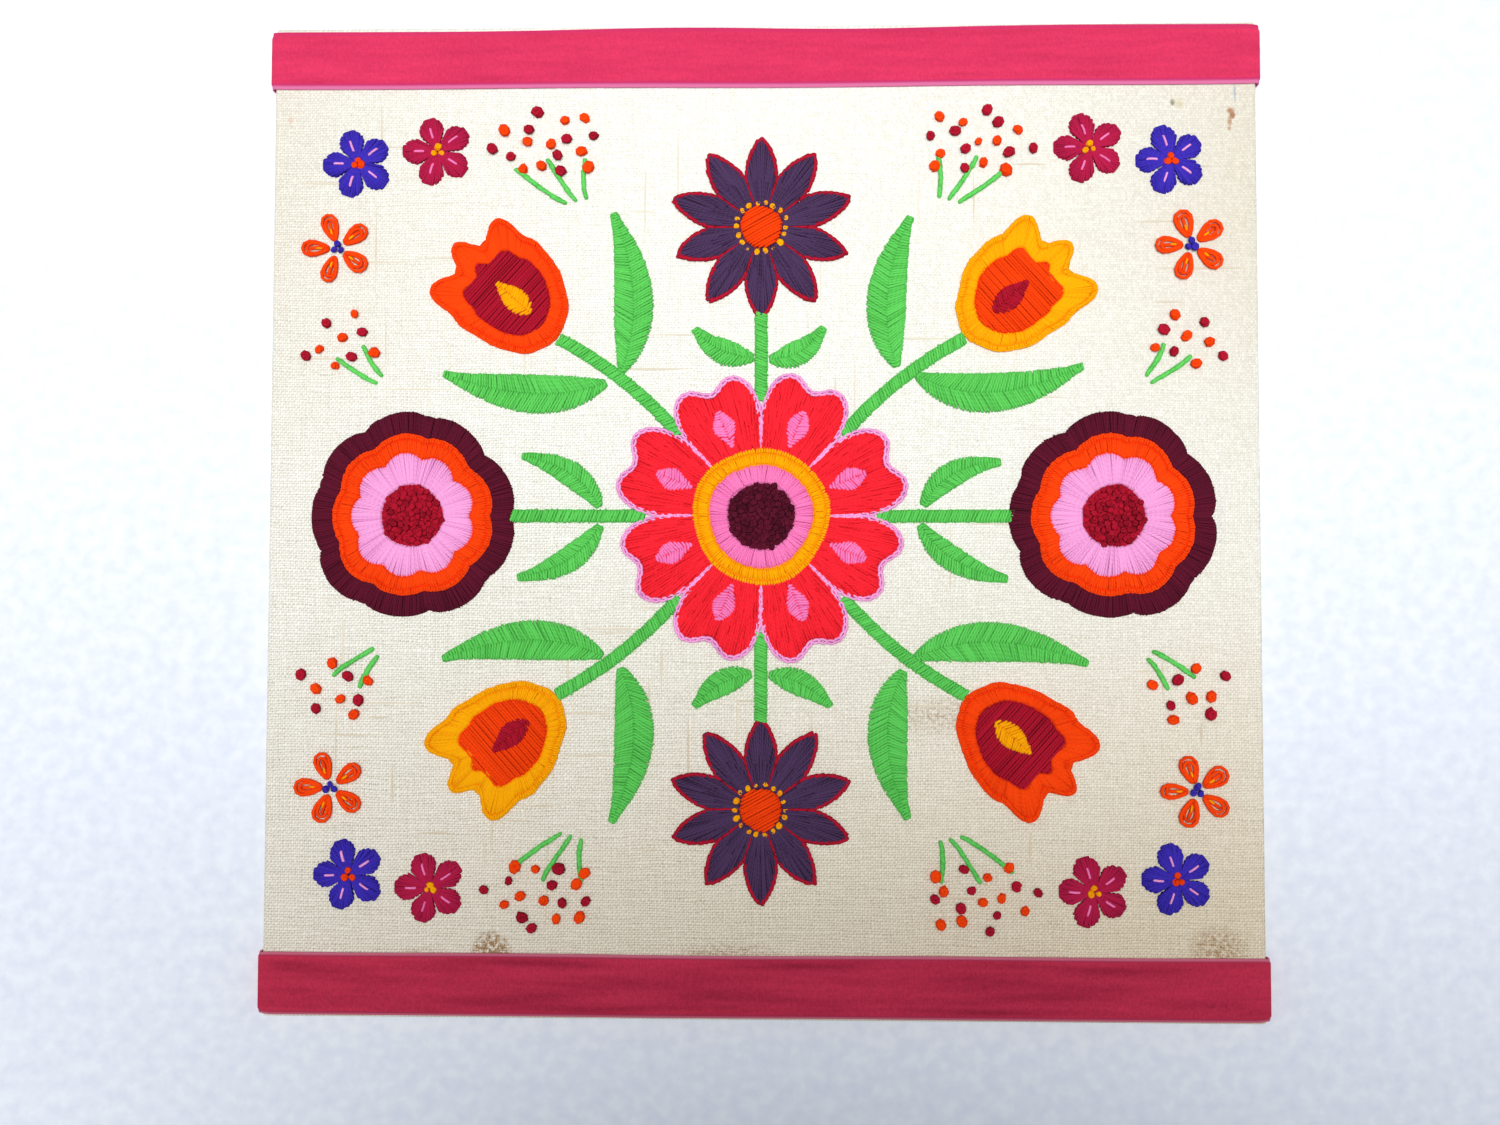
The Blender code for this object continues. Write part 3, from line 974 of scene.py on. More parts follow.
    def edging(self, path: Array) -> Strands:
        """The running edge of blanket stitch: short loops end to end along a path."""
        pitch = 1.5
        places = np.arange(0, walked(path)[-1], pitch)
        start = points_along(path, places - 0.35)
        end = points_along(path, places + pitch + 0.25)
        return self.straight(start, end, lift=0.75, width=1.0, half_height=0.5, unevenness=0.1, tone=0.5)

    def stem(self, path: Array, width: float) -> Strands:
        """Stem stitch: slanting strands that overlap along a line, like a rope."""
        pitch = 2.3
        length = walked(path)[-1]
        places = np.arange(0, max(length - pitch, pitch), pitch)
        last = np.minimum(places + 2.3 * pitch, length)
        side = 0.32 * square_to(directions_along(path, places))
        start, end = points_along(path, places) - side, points_along(path, last) + side
        return self.straight(start, end, lift=0.75, width=width, half_height=0.5, unevenness=0.08)

    def loops(self, base: Array, tip: Array, width: float, half_width: float = 0.6) -> Strands:
        """Loops of yarn that leave the cloth and come back at one base point.

        With s from 0 to 1 round the loop, its place towards the tip is half of 1 - cos(2 pi s) and its
        place sideways is half the width times sin(2 pi s), narrowed near the base.

        Args:
            base: N points where the loops leave the cloth.
            tip: N points that they reach.
            width: width of a loop between its strands' middles.
            half_width: half the yarn's width.

        Returns:
            The loops.
        """
        count = len(base)
        s = np.linspace(0, 1, 13)
        forward = (1 - np.cos(2 * np.pi * s)) / 2
        sideways = width / 2 * np.sin(2 * np.pi * s) * (0.35 + 0.65 * forward)
        reach = tip - base
        size = np.linalg.norm(reach, axis=1, keepdims=True)
        side = square_to(reach / np.maximum(size, 1e-6))
        wobble = self.hand.normal(1, 0.08, (count, 1, 1))
        flat = base[:, None] + reach[:, None] * forward[:, None] + side[:, None] * sideways[:, None] * wobble
        height = self.face + 0.35 + 0.9 * np.sqrt(forward)
        path = np.concatenate([flat, np.broadcast_to(height, (count, 13))[..., None]], axis=2)
        ends = np.clip(np.minimum(s, 1 - s) * 8 + 0.6, 0, 1)
        half = half_width * ends * self.hand.normal(1, 0.05, (count, 1))
        return Strands(path, half, 0.9 * half, self.tones(count, 0.5))

    def chain(self, path: Array, pitch: float = 3.1, width: float = 1.5) -> Strands:
        """Chain stitch: loops along a line, each held by the next."""
        places = np.arange(0, walked(path)[-1] - 0.6 * pitch, pitch)
        places = places + self.hand.normal(0, 0.12, len(places))
        tips = points_along(path, places + 1.3 * pitch)
        return self.loops(points_along(path, places), tips, width)

    def knots(self, centres: Array, size: float, tone: float = 0.45, spread: float = 0.13) -> Strands:
        """French knots: each a coil of nearly two turns that rises and ends in its own middle.

        With t from 0 to 1 the turn is 2 pi times the coils, the radius shrinks by a third, and both
        ends are drawn in to the middle. A cosine of twice the turn squashes each knot a little.

        Args:
            centres: N points.
            size: width of a knot.
            tone: middle lightness.
            spread: spread of the lightness.

        Returns:
            The coils.
        """
        count = len(centres)
        t = np.linspace(0, 1, 16)
        coils = self.hand.uniform(1.6, 2.1, (count, 1))
        turn = 2 * np.pi * (coils * t + self.hand.uniform(0, 1, (count, 1)))
        scale = self.hand.normal(1, 0.1, (count, 1)) * size
        drawn_in = np.clip(7 * t, 0.05, 1) * np.clip(6 * (1 - t), 0.08, 1)
        squash = 1 + 0.18 * np.cos(2 * (turn - self.hand.uniform(0, np.pi, (count, 1))))
        radius = 0.3 * scale * (1 - 0.35 * t) * drawn_in * squash
        lean = self.hand.normal(0, 0.12, (count, 2, 1)) * t * size
        x = centres[:, :1] + radius * np.cos(turn) + lean[:, 0]
        y = centres[:, 1:] + radius * np.sin(turn) + lean[:, 1]
        dip = np.clip((t - 0.86) / 0.14, 0, 1) * 0.22
        z = self.face + np.minimum(scale, 3.5) * (0.14 + 0.4 * t - dip)
        half = 0.2 * scale * np.ones_like(t)
        z = np.minimum(z, self.face + KNOT_HEIGHT - half)
        return Strands(np.stack([x, y, z], axis=2), half, half, self.tones(count, tone, spread))

    def disc_of_knots(self, centre: Sequence[float], radius: float, size: float) -> Strands:
        """A disc packed with knots on a sunflower spiral.

        Each knot is a golden turn on from the last one, and its distance goes with the root of its number.

        Args:
            centre: the disc's middle.
            radius: its radius.
            size: width of a knot.

        Returns:
            The coils.
        """
        count = max(3, round(0.98 * (radius / (0.5 * size)) ** 2))
        order = np.arange(count) + 0.5
        out = (radius - 0.4 * size) * np.sqrt(order / count)
        turn = order * GOLDEN_TURN
        centres = np.column_stack([centre[0] + out * np.cos(turn), centre[1] + out * np.sin(turn)])
        centres += self.hand.normal(0, 0.12 * size, centres.shape)
        return self.knots(centres, size, tone=0.4, spread=0.28)

    def underlay(self, start: Array, end: Array) -> Strands:
        """Broad flat stitches under the top ones, so that no linen shows between them."""
        return self.straight(start, end, lift=0.35, width=2.5, half_height=0.4, unevenness=0.05, tone=0.4)

    def bed(self, outline: Array, angle: float = 0.8) -> Strands:
        """Underlay across the whole of a shape, at an angle in radians."""
        return self.underlay(*chords(outline, angle, 1.5))

    def lining(self, inner: Array, outer: Array) -> Strands:
        """Underlay of running stitches under a band of satin, along it and side by side.

        Args:
            inner: M points of the band's inner curve.
            outer: M points of its outer curve.

        Returns:
            The strands.
        """
        depth = np.linalg.norm(outer - inner, axis=1).mean()
        starts, ends = [], []
        for row, share in enumerate(np.linspace(0.1, 0.9, max(3, round(depth / 1.5)))):
            path = inner * (1 - share) + outer * share
            places = np.arange(-2.0 * (row % 2), walked(path)[-1], 4.0)
            starts.append(points_along(path, places - 0.7))
            ends.append(points_along(path, places + 4.7))
        return self.underlay(np.concatenate(starts), np.concatenate(ends))

    def fishbone(self, rib: Array, half_width: Callable[[Array], Array]) -> Strands:
        """Fishbone stitch: slanting strands from a middle rib to both edges of a leaf.

        Args:
            rib: points of the middle line.
            half_width: half the leaf's width for each share of its length.

        Returns:
            The strands of both sides.
        """
        length = walked(rib)[-1]
        count = max(4, round(length / self.slant_pitch))
        share = (np.arange(count) + 0.3) / count
        starts, ends = [], []
        for side in (-1, 1):
            reached = share + (1 - share) * np.minimum(0.9 * half_width(share) / length, 0.3)
            across = square_to(directions_along(rib, reached * length)) * side
            starts.append(points_along(rib, share * length) - 0.35 * across)
            ends.append(points_along(rib, reached * length) + across * half_width(reached)[:, None])
        return self.straight(np.concatenate(starts), np.concatenate(ends), lift=1.0, unevenness=0.12)

    def slanted(self, middle: Array, half_width: float) -> Strands:
        """Slanted satin of even width along a line, each stitch from its right edge forward to its left."""
        half_slant = 1.1
        places = np.arange(0, walked(middle)[-1], self.slant_pitch)
        side = half_width * square_to(directions_along(middle, places))
        start = points_along(middle, places - half_slant) - side
        end = points_along(middle, places + half_slant) + side
        return self.straight(start, end, lift=1.0, unevenness=0.14)


@dataclass
class Workbasket:
    """Collects the strands of each yarn in one motif and makes them pieces.

    Attributes:
        motif: name of the motif, which starts each piece's name.
        replaces: CAD nodes that the motif's pieces stand for, hidden once they are made.
    """

    motif: str
    replaces: tuple[str, ...]
    strands: dict[tuple[Yarn, str], list[Surface]] = field(default_factory=dict)

    def add(self, yarn: Yarn, part: str, *work: Strands, around: int = 6) -> None:
        """Puts strands of one yarn into a part of the motif.

        Args:
            yarn: their colour.
            part: the part's name.
            work: the strands.
            around: corners of each strand's section.
        """
        self.strands.setdefault((yarn, part), []).extend(w.surface(around) for w in work)

    def finish(self) -> list[bpy.types.Object]:
        """Makes a piece of each part, riding on the panel and standing for the motif's CAD nodes."""
        made = []
        for (yarn, part), surfaces in self.strands.items():
            piece = joined(surfaces).to_object(f"{self.motif}_{part}", WOOLS[yarn].material())
            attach(piece, BODY)
            made.append(piece)
            log.info("%s: %d faces", piece.name, len(piece.data.polygons))
        if self.replaces:
            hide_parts(*self.replaces)
        return made


@dataclass
class Rosette:
    """The middle flower: eight heart-shaped coral petals round a golden ring and a core of knots."""

    face: float
    radius: float = 60.0
    valley: float = 34.0
    ring_radius: float = 27.0
    pink_radius: float = 20.5
    core: float = 14.5
    petals: int = 8
    lobe_place: float = 0.42
    lobe_notch: float = 0.2

    def outline(self, angles: Array) -> Array:
        """Radius of the petals' edge: each lobe an arc of a circle, with a cosine notch between two."""
        across = petal_share(angles, self.petals)
        notch = 1 - self.lobe_notch * np.cos(np.pi / 2 * across / self.lobe_place) ** 2
        lobe = np.sqrt(np.maximum(0, 1 - ((across - self.lobe_place) / (1 - self.lobe_place)) ** 2))
        reach = np.where(across < self.lobe_place, notch, lobe)
        return self.valley + (self.radius - self.valley) * reach

    def work(self) -> list[bpy.types.Object]:
        """Sews the rosette and returns its pieces."""
        needle = Needle(self.face, seed=11)
        basket = Workbasket("rosette", ("rosette",))
        half_step = np.pi / self.petals
        for petal in range(self.petals):
            middle = half_step * (2 * petal + 1)
            angles = middle + np.linspace(-1, 1, 61) * (half_step - 0.015)
            outer = polar((0, 0), self.outline, angles, 2.0)
            inner = polar((0, 0), ring(self.ring_radius - 1), angles)
            basket.add(Yarn.CORAL, "petals", needle.bed(np.concatenate([inner, outer[::-1]]), middle))
            basket.add(Yarn.CORAL, "petals", needle.fill(inner, outer, 5, lift=1.2, ragged=0.1))
            rib = np.linspace(30, 46, 30)[:, None] * heading(middle)
            drop = needle.fishbone(rib, lambda share: 0.5 + 4.2 * np.sin(np.pi * share**1.3))
            drop.path[..., 2] += 0.75
            basket.add(Yarn.PINK, "drops", drop)
        turn = np.linspace(0, 2 * np.pi, 721)
        edge = polar((0, 0), self.outline, turn, 1.2)
        basket.add(Yarn.LAVENDER, "outline", needle.chain(edge, width=1.8), around=5)
        for valley in range(self.petals):
            reach = np.array([[self.ring_radius + 0.5], [self.valley + 0.5]])
            line = reach * heading(2 * half_step * valley)
            basket.add(Yarn.LAVENDER, "outline", needle.chain(line, pitch=2.8), around=5)
        core_edge = polar((0, 0), ring(self.core - 1), turn)
        pink_edge = polar((0, 0), ring(self.pink_radius + 0.6), turn)
        golden_edge = polar((0, 0), ring(self.ring_radius + 0.8), turn)
        golden = needle.blanket(pink_edge, golden_edge)
        for strands in golden:
            strands.path[..., 2] += 0.25
        basket.add(Yarn.GOLDEN, "ring", *golden)
        start, end = rungs(core_edge, pink_edge, 1.1)
        basket.add(Yarn.PINK, "inner_ring", needle.lining(core_edge, pink_edge))
        basket.add(Yarn.PINK, "inner_ring", needle.straight(start, end, lift=1.35))
        basket.add(Yarn.MAROON, "core", needle.bed(polar((0, 0), ring(self.core), turn[:-1:10])))
        basket.add(Yarn.MAROON, "core", needle.disc_of_knots((0, 0), self.core, 3.0), around=5)
        return basket.finish()


@dataclass
class Aster:
    """A flower of ten pointed aubergine petals, roped in crimson, above or below the rosette."""

    face: float
    node: str
    seed: int
    radius: float = 38.0
    valley: float = 19.0
    core: float = 8.5
    petals: int = 10

    def outline(self, angles: Array) -> Array:
        """Radius of the petals' edge: 1 less the share from the petal's middle, to the power 0.75."""
        across = petal_share(angles, self.petals)
        return self.valley + (self.radius - self.valley) * (1 - across) ** 0.75

    def work(self) -> list[bpy.types.Object]:
        """Sews the aster and returns its pieces."""
        low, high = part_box(self.node)
        centre = ((low.x + high.x) / 2 / MM, (low.y + high.y) / 2 / MM)
        needle = Needle(self.face, self.seed)
        basket = Workbasket(self.node, (self.node,))
        half_step = np.pi / self.petals
        for petal in range(self.petals):
            middle = half_step * (2 * petal + 1)
            angles = middle + np.linspace(-1, 1, 41) * (half_step - 0.03)
            outer = polar(centre, self.outline, angles, 1.2)
            inner = polar(centre, ring(self.core), angles)
            bed = needle.bed(np.concatenate([inner, outer[::-1]]), middle + np.pi / 2)
            basket.add(Yarn.AUBERGINE, "petals", bed)
            basket.add(Yarn.AUBERGINE, "petals", needle.fill(inner, outer, 2, lift=1.1, ragged=0.07))
            edge = polar(centre, self.outline, middle + np.linspace(-1, 1, 61) * half_step, 0.3)
            line = np.array(centre) + np.array([[self.core], [self.valley]]) * heading(middle + half_step)
            basket.add(Yarn.CRIMSON, "outline", needle.stem(edge, width=1.7), needle.stem(line, width=1.7))
        circle = polar(centre, ring(self.core), np.linspace(0, 2 * np.pi, 73)[:-1])
        start, end = chords(circle, 0.5, 1.15)
        basket.add(Yarn.ORANGE, "core", needle.bed(circle, 2.1))
        dome = 1.35 + 0.6 * np.linalg.norm(end - start, axis=1) / (2 * self.core)
        basket.add(Yarn.ORANGE, "core", needle.straight(start, end, lift=dome))
        spots = np.linspace(0, 2 * np.pi, 19)[:-1]
        knots = needle.knots(polar(centre, ring(self.core + 1.6), spots), 3.0)
        basket.add(Yarn.GOLDEN, "knots", knots, around=5)
        return basket.finish()


@dataclass
class Cockade:
    """A round scalloped flower of satin and blanket bands, left or right of the rosette."""

    face: float
    node: str
    seed: int
    radius: float = 42.0
    valley: float = 38.5
    scallops: int = 9
    maroon_inner: float = 32.0
    orange_inner: float = 24.0
    core: float = 13.5

    def outline(self, angles: Array) -> Array:
        """Radius of the scalloped edge: arcs of a circle between the valleys."""
        across = petal_share(angles, self.scallops)
        return self.valley + (self.radius - self.valley) * np.sqrt(1 - across**2)

    def waves(self, radius: float, depth: float) -> Outline:
        """An outline of that radius that follows the scallops by a depth."""
        return lambda angles: radius + depth * (0.5 - petal_share(angles, self.scallops) ** 2)

    def work(self) -> list[bpy.types.Object]:
        """Sews the cockade and returns its pieces."""
        low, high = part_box(self.node)
        side = math.copysign(1, low.x + high.x)
        centre = (142.0 * side, 0.0)
        needle = Needle(self.face, self.seed)
        basket = Workbasket(self.node, (self.node,))
        turn = np.linspace(0, 2 * np.pi, 541)
        edge = polar(centre, self.outline, turn)
        mid = polar(centre, self.waves(self.maroon_inner, 2.0), turn)
        inner = polar(centre, self.waves(self.orange_inner, 3.0), turn)
        core_edge = polar(centre, ring(self.core - 1), turn)
        basket.add(Yarn.MAROON, "rim", needle.lining(mid, edge), needle.straight(*rungs(mid, edge, 1.08)))
        basket.add(Yarn.ORANGE, "band", *needle.blanket(inner, mid, 1.08))
        rays = needle.straight(*rungs(core_edge, inner, 1.1))
        basket.add(Yarn.LAVENDER, "rays", needle.lining(core_edge, inner), rays)
        basket.add(Yarn.CRIMSON, "core", needle.bed(polar(centre, ring(self.core), turn[:-1:10])))
        basket.add(Yarn.CRIMSON, "core", needle.disc_of_knots(centre, self.core, 3.0), around=5)
        return basket.finish()


@dataclass
class Tulip:
    """A tulip that points into its corner: a blanket band round an inner petal and a drop."""

    face: float
    corner: str
    signs: tuple[int, int]
    seed: int
    band: Yarn
    inner: Yarn
    drop: Yarn
    centre: tuple[float, float] = (101.4, 89.3)
    turn_degrees: float = 41.8
    # Degrees from the tip, and radius in millimetres
    table: tuple[tuple[float, float], ...] = (
        (0, 33),
        (17, 25),
        (36, 34.5),
        (60, 25.5),
        (90, 22),
        (125, 21.5),
        (155, 23.5),
        (180, 25),
    )

    def outline(self, angles: Array) -> Array:
        """Radius about the tulip's middle, eased by a cosine between the radii of its table."""
        turned = np.abs(np.degrees((angles + np.pi) % (2 * np.pi) - np.pi))
        knots = np.array(self.table)
        index = np.clip(np.searchsorted(knots[:, 0], turned, side="right") - 1, 0, len(knots) - 2)
        start, end = knots[index], knots[index + 1]
        share = (turned - start[:, 0]) / (end[:, 0] - start[:, 0])
        return start[:, 1] + (end[:, 1] - start[:, 1]) * (0.5 - 0.5 * np.cos(np.pi * share))

    def work(self) -> list[bpy.types.Object]:
        """Sews the tulip and returns its pieces."""
        turn = math.radians(self.turn_degrees)
        axis = math.atan2(self.signs[1] * math.sin(turn), self.signs[0] * math.cos(turn))
        centre = (self.signs[0] * self.centre[0], self.signs[1] * self.centre[1])
        needle = Needle(self.face, self.seed)
        node = f"tulip_{self.corner}"
        basket = Workbasket(node, (node,))
        angles = np.linspace(0, 2 * np.pi, 361)

        def turned_outline(at: Array) -> Array:
            """The outline with its tip along the axis."""
            return self.outline(at - axis)

        def inner_outline(at: Array) -> Array:
            """The inner petal: the outline drawn in, with its notches softened."""
            return 0.45 * turned_outline(at) + 5.0

        edge = polar(centre, turned_outline, angles, 0.4)
        inside = polar(centre, inner_outline, angles)
        basket.add(self.band, "band", *needle.blanket(inside, edge, 1.05))
        under = polar(centre, inner_outline, angles[:-1], -0.9)
        basket.add(self.inner, "petal", needle.bed(under, axis))
        start, end = chords(inside[:-1], axis + np.pi / 2, 1.1)
        basket.add(self.inner, "petal", needle.straight(start, end, lift=1.35))
        rib = np.array(centre) + np.linspace(-10, 9, 30)[:, None] * heading(axis)
        drop = needle.fishbone(rib, lambda share: 0.5 + 4.4 * np.sin(np.pi * share**0.8))
        drop.path[..., 2] += 1.0
        basket.add(self.drop, "drop", drop)
        return basket.finish()


@dataclass
class Floret:
    """A small flower of five satin petals round a knot or a few."""

    face: float
    node: str
    seed: int
    petal: Yarn
    knot: Yarn
    vein: Yarn
    looped: bool
    radius: float = 14.5
    valley: float = 6.5
    petals: int = 5

    def outline(self, angles: Array) -> Array:
        """Radius of the petals' edge: 1 less the squared share from the petal's middle, to the power 0.6."""
        across = petal_share(angles, self.petals)
        return self.valley + (self.radius - self.valley) * (1 - across**2) ** 0.6

    def work(self, centre: tuple[float, float]) -> list[bpy.types.Object]:
        """Sews the floret about its centre and returns its pieces."""
        needle = Needle(self.face, self.seed)
        basket = Workbasket(self.node, (self.node,))
        half_step = np.pi / self.petals
        if self.looped:
            self.daisy(basket, needle, centre)
        else:
            for petal in range(self.petals):
                middle = half_step * (2 * petal + 1)
                angles = middle + np.linspace(-1, 1, 31) * (half_step - 0.07)
                outer = polar(centre, self.outline, angles, 0.4)
                inner = polar(centre, ring(0.5), angles)
                bed = needle.bed(np.concatenate([inner, outer[::-1]]), middle + np.pi / 2)
                basket.add(self.petal, "petals", bed, needle.fill(inner, outer, 1, lift=1.0))
                line = np.array(centre) + np.array([[5.0], [10.5]]) * heading(middle)
                vein = needle.straight(line[:1], line[1:], lift=1.75, width=1.0, half_height=0.45)
                basket.add(self.vein, "veins", vein)
        spots = np.array(centre) + 1.7 * np.array([[0.0, 0.9], [0.85, -0.45], [-0.85, -0.45]])
        knots = needle.knots(spots, 3.3)
        knots.path[..., 2] += 0.3
        basket.add(self.knot, "knots", knots, around=5)
        return basket.finish()

    def daisy(self, basket: Workbasket, needle: Needle, centre: tuple[float, float]) -> None:
        """Sews each petal as two detached loops, one inside the other, round a straight stitch.

        Args:
            basket: takes the strands.
            needle: sews them.
            centre: the floret's middle.
        """
        middles = np.pi / self.petals * (2 * np.arange(self.petals) + 1)
        out = np.column_stack([np.cos(middles), np.sin(middles)])
        for start, end, width in ((3.4, 14.2, 8.6), (4.0, 12.4, 5.4)):
            loop = needle.loops(centre + start * out, centre + end * out, width, half_width=0.75)
            basket.add(self.petal, "petals", loop)
        lines = needle.straight(centre + 5.0 * out, centre + 11.6 * out, lift=0.9, width=1.7)
        basket.add(self.petal, "petals", lines)
        veins = needle.straight(centre + 5.5 * out, centre + 9.0 * out, lift=1.5, width=0.9, half_height=0.4)
        basket.add(self.vein, "veins", veins)


# Middle lines as start, pull and end points of one smooth bend, in millimetres, where X and Y are plus
TULIP_STEM = ((33, 33), (55, 58), (82.6, 72.4))
TULIP_LEAVES = {
    "inner": ((56.4, 61.5), (44, 88), (60, 124)),
    "outer": ((63, 56.2), (90, 43), (130, 59)),
}
SIDE_STEM = ((47, 0), (76, 0), (102, 0))
SIDE_LEAF = ((66, 3.6), (74, 21), (97, 25))
TOP_STEM = ((0, 47), (0, 66), (0, 83))
TOP_LEAF = ((3.6, 64), (18, 65), (28, 77))
QUADRANTS = {"ne": (1, 1), "nw": (-1, 1), "sw": (-1, -1), "se": (1, -1)}


@dataclass
class Foliage:
    """A stem of slanted satin and its fishbone leaves, as one green piece."""

    face: float
    place: str
    seed: int
    stem: Sequence[Sequence[float]]
    stem_signs: tuple[int, int]
    leaves: dict[str, tuple[Sequence[Sequence[float]], tuple[int, int]]]
    widest: float = 5.2
    stem_half: float = 2.6
    tip_half: float = 0.6

    def half_width(self, share: Array) -> Array:
        """Half the leaf's width: a sine of the share to the power 0.8, so it is widest below the middle."""
        swell = np.maximum(0, np.sin(np.pi * share**0.8)) ** 0.9
        return self.tip_half + (self.widest - self.tip_half) * swell

    def work(self) -> list[bpy.types.Object]:
        """Sews the stem and the leaves and returns the piece."""
        needle = Needle(self.face, self.seed)
        nodes = [f"leaf_{self.place}_{leaf}" for leaf in self.leaves]
        basket = Workbasket(f"foliage_{self.place}", (f"stem_{self.place}", *nodes))
        stem = bend(self.stem, self.stem_signs, 60)
        beside = 0.7 * self.stem_half * square_to(directions_along(stem, walked(stem)))
        lining = needle.lining(stem - beside, stem + beside)
        basket.add(Yarn.GREEN, "green", lining, needle.slanted(stem, self.stem_half))
        for points, signs in self.leaves.values():
            rib = bend(np.array(points) + needle.hand.normal(0, 0.9, (3, 2)), signs, 60)
            share = np.linspace(0, 1, 60)
            side = square_to(directions_along(rib, share * walked(rib)[-1]))
            across = side * self.half_width(share)[:, None]
            lining = needle.lining(rib - 0.8 * across, rib + 0.8 * across)
            basket.add(Yarn.GREEN, "green", lining, needle.fishbone(rib, self.half_width))
        return basket.finish()


@dataclass
class BerrySpray:
    """Loose French knots over thin stalks, in the spaces between the flowers of one corner."""

    face: float
    corner: str
    signs: tuple[int, int]
    seed: int
    # Middle, half width and half height of each patch of berries, and its knots
    patches: tuple[tuple[float, float, float, float, int], ...] = (
        (88, 152, 24, 15, 17),
        (172, 70, 17, 13, 9),
    )
    # Start, pull and end points of each stalk
    stalks: tuple[Sequence[Sequence[float]], ...] = (
        ((72, 130), (74, 138), (72, 147)),
        ((76, 129), (83, 138), (88, 147)),
        ((80, 128), (91, 134), (101, 143)),
        ((155, 57), (160, 62), (163, 70)),
        ((157, 54), (167, 59), (174, 65)),
    )

    def work(self) -> list[bpy.types.Object]:
        """Sews the berries and the stalks and returns their pieces."""
        needle = Needle(self.face, self.seed)
        basket = Workbasket(f"berries_{self.corner}", ())
        mirror = np.array(self.signs)
        for x, y, half_width, half_height, count in self.patches:
            order = np.arange(count) + 0.5
            out = np.sqrt(order / count)
            turn = order * GOLDEN_TURN + 0.4
            across = x + half_width * out * np.cos(turn)
            upwards = y + half_height * out * np.sin(turn)
            spots = np.column_stack([across, upwards])
            spots = (spots + needle.hand.normal(0, 0.8, spots.shape)) * mirror
            for yarn, chosen in ((Yarn.ORANGE, order % 2 < 1), (Yarn.CRIMSON, order % 2 >= 1)):
                knots = needle.knots(spots[chosen], 4.9)
                basket.add(yarn, f"{yarn.name.lower()}_knots", knots, around=6)
        for points in self.stalks:
            basket.add(Yarn.GREEN, "stalks", needle.stem(bend(points, self.signs, 30), width=1.9))
        return basket.finish()


def tube(rings: Array) -> tuple[Array, Array]:
    """Joins rings of like points into a closed surface.

    Each ring's second half mirrors its first, so an end is closed by quads from one half to the other.

    Args:
        rings: n rings by M points by 3, M even.

    Returns:
        The points and the quads.
    """
    count, around = rings.shape[:2]
    index = np.arange(count * around).reshape(count, around)
    after = np.roll(index, -1, axis=1)
    walls = np.stack([index[:-1], after[:-1], after[1:], index[1:]], axis=2).reshape(-1, 4)
    half = around // 2
    caps = []
    for row, order in ((index[0], slice(None, None, -1)), (index[-1], slice(None))):
        near, far = row[:half], row[half:][::-1]
        cap = np.stack([near[:-1], near[1:], far[1:], far[:-1]], axis=1)
        caps.append(cap[:, order])
    return rings.reshape(-1, 3), np.concatenate([walls, *caps])


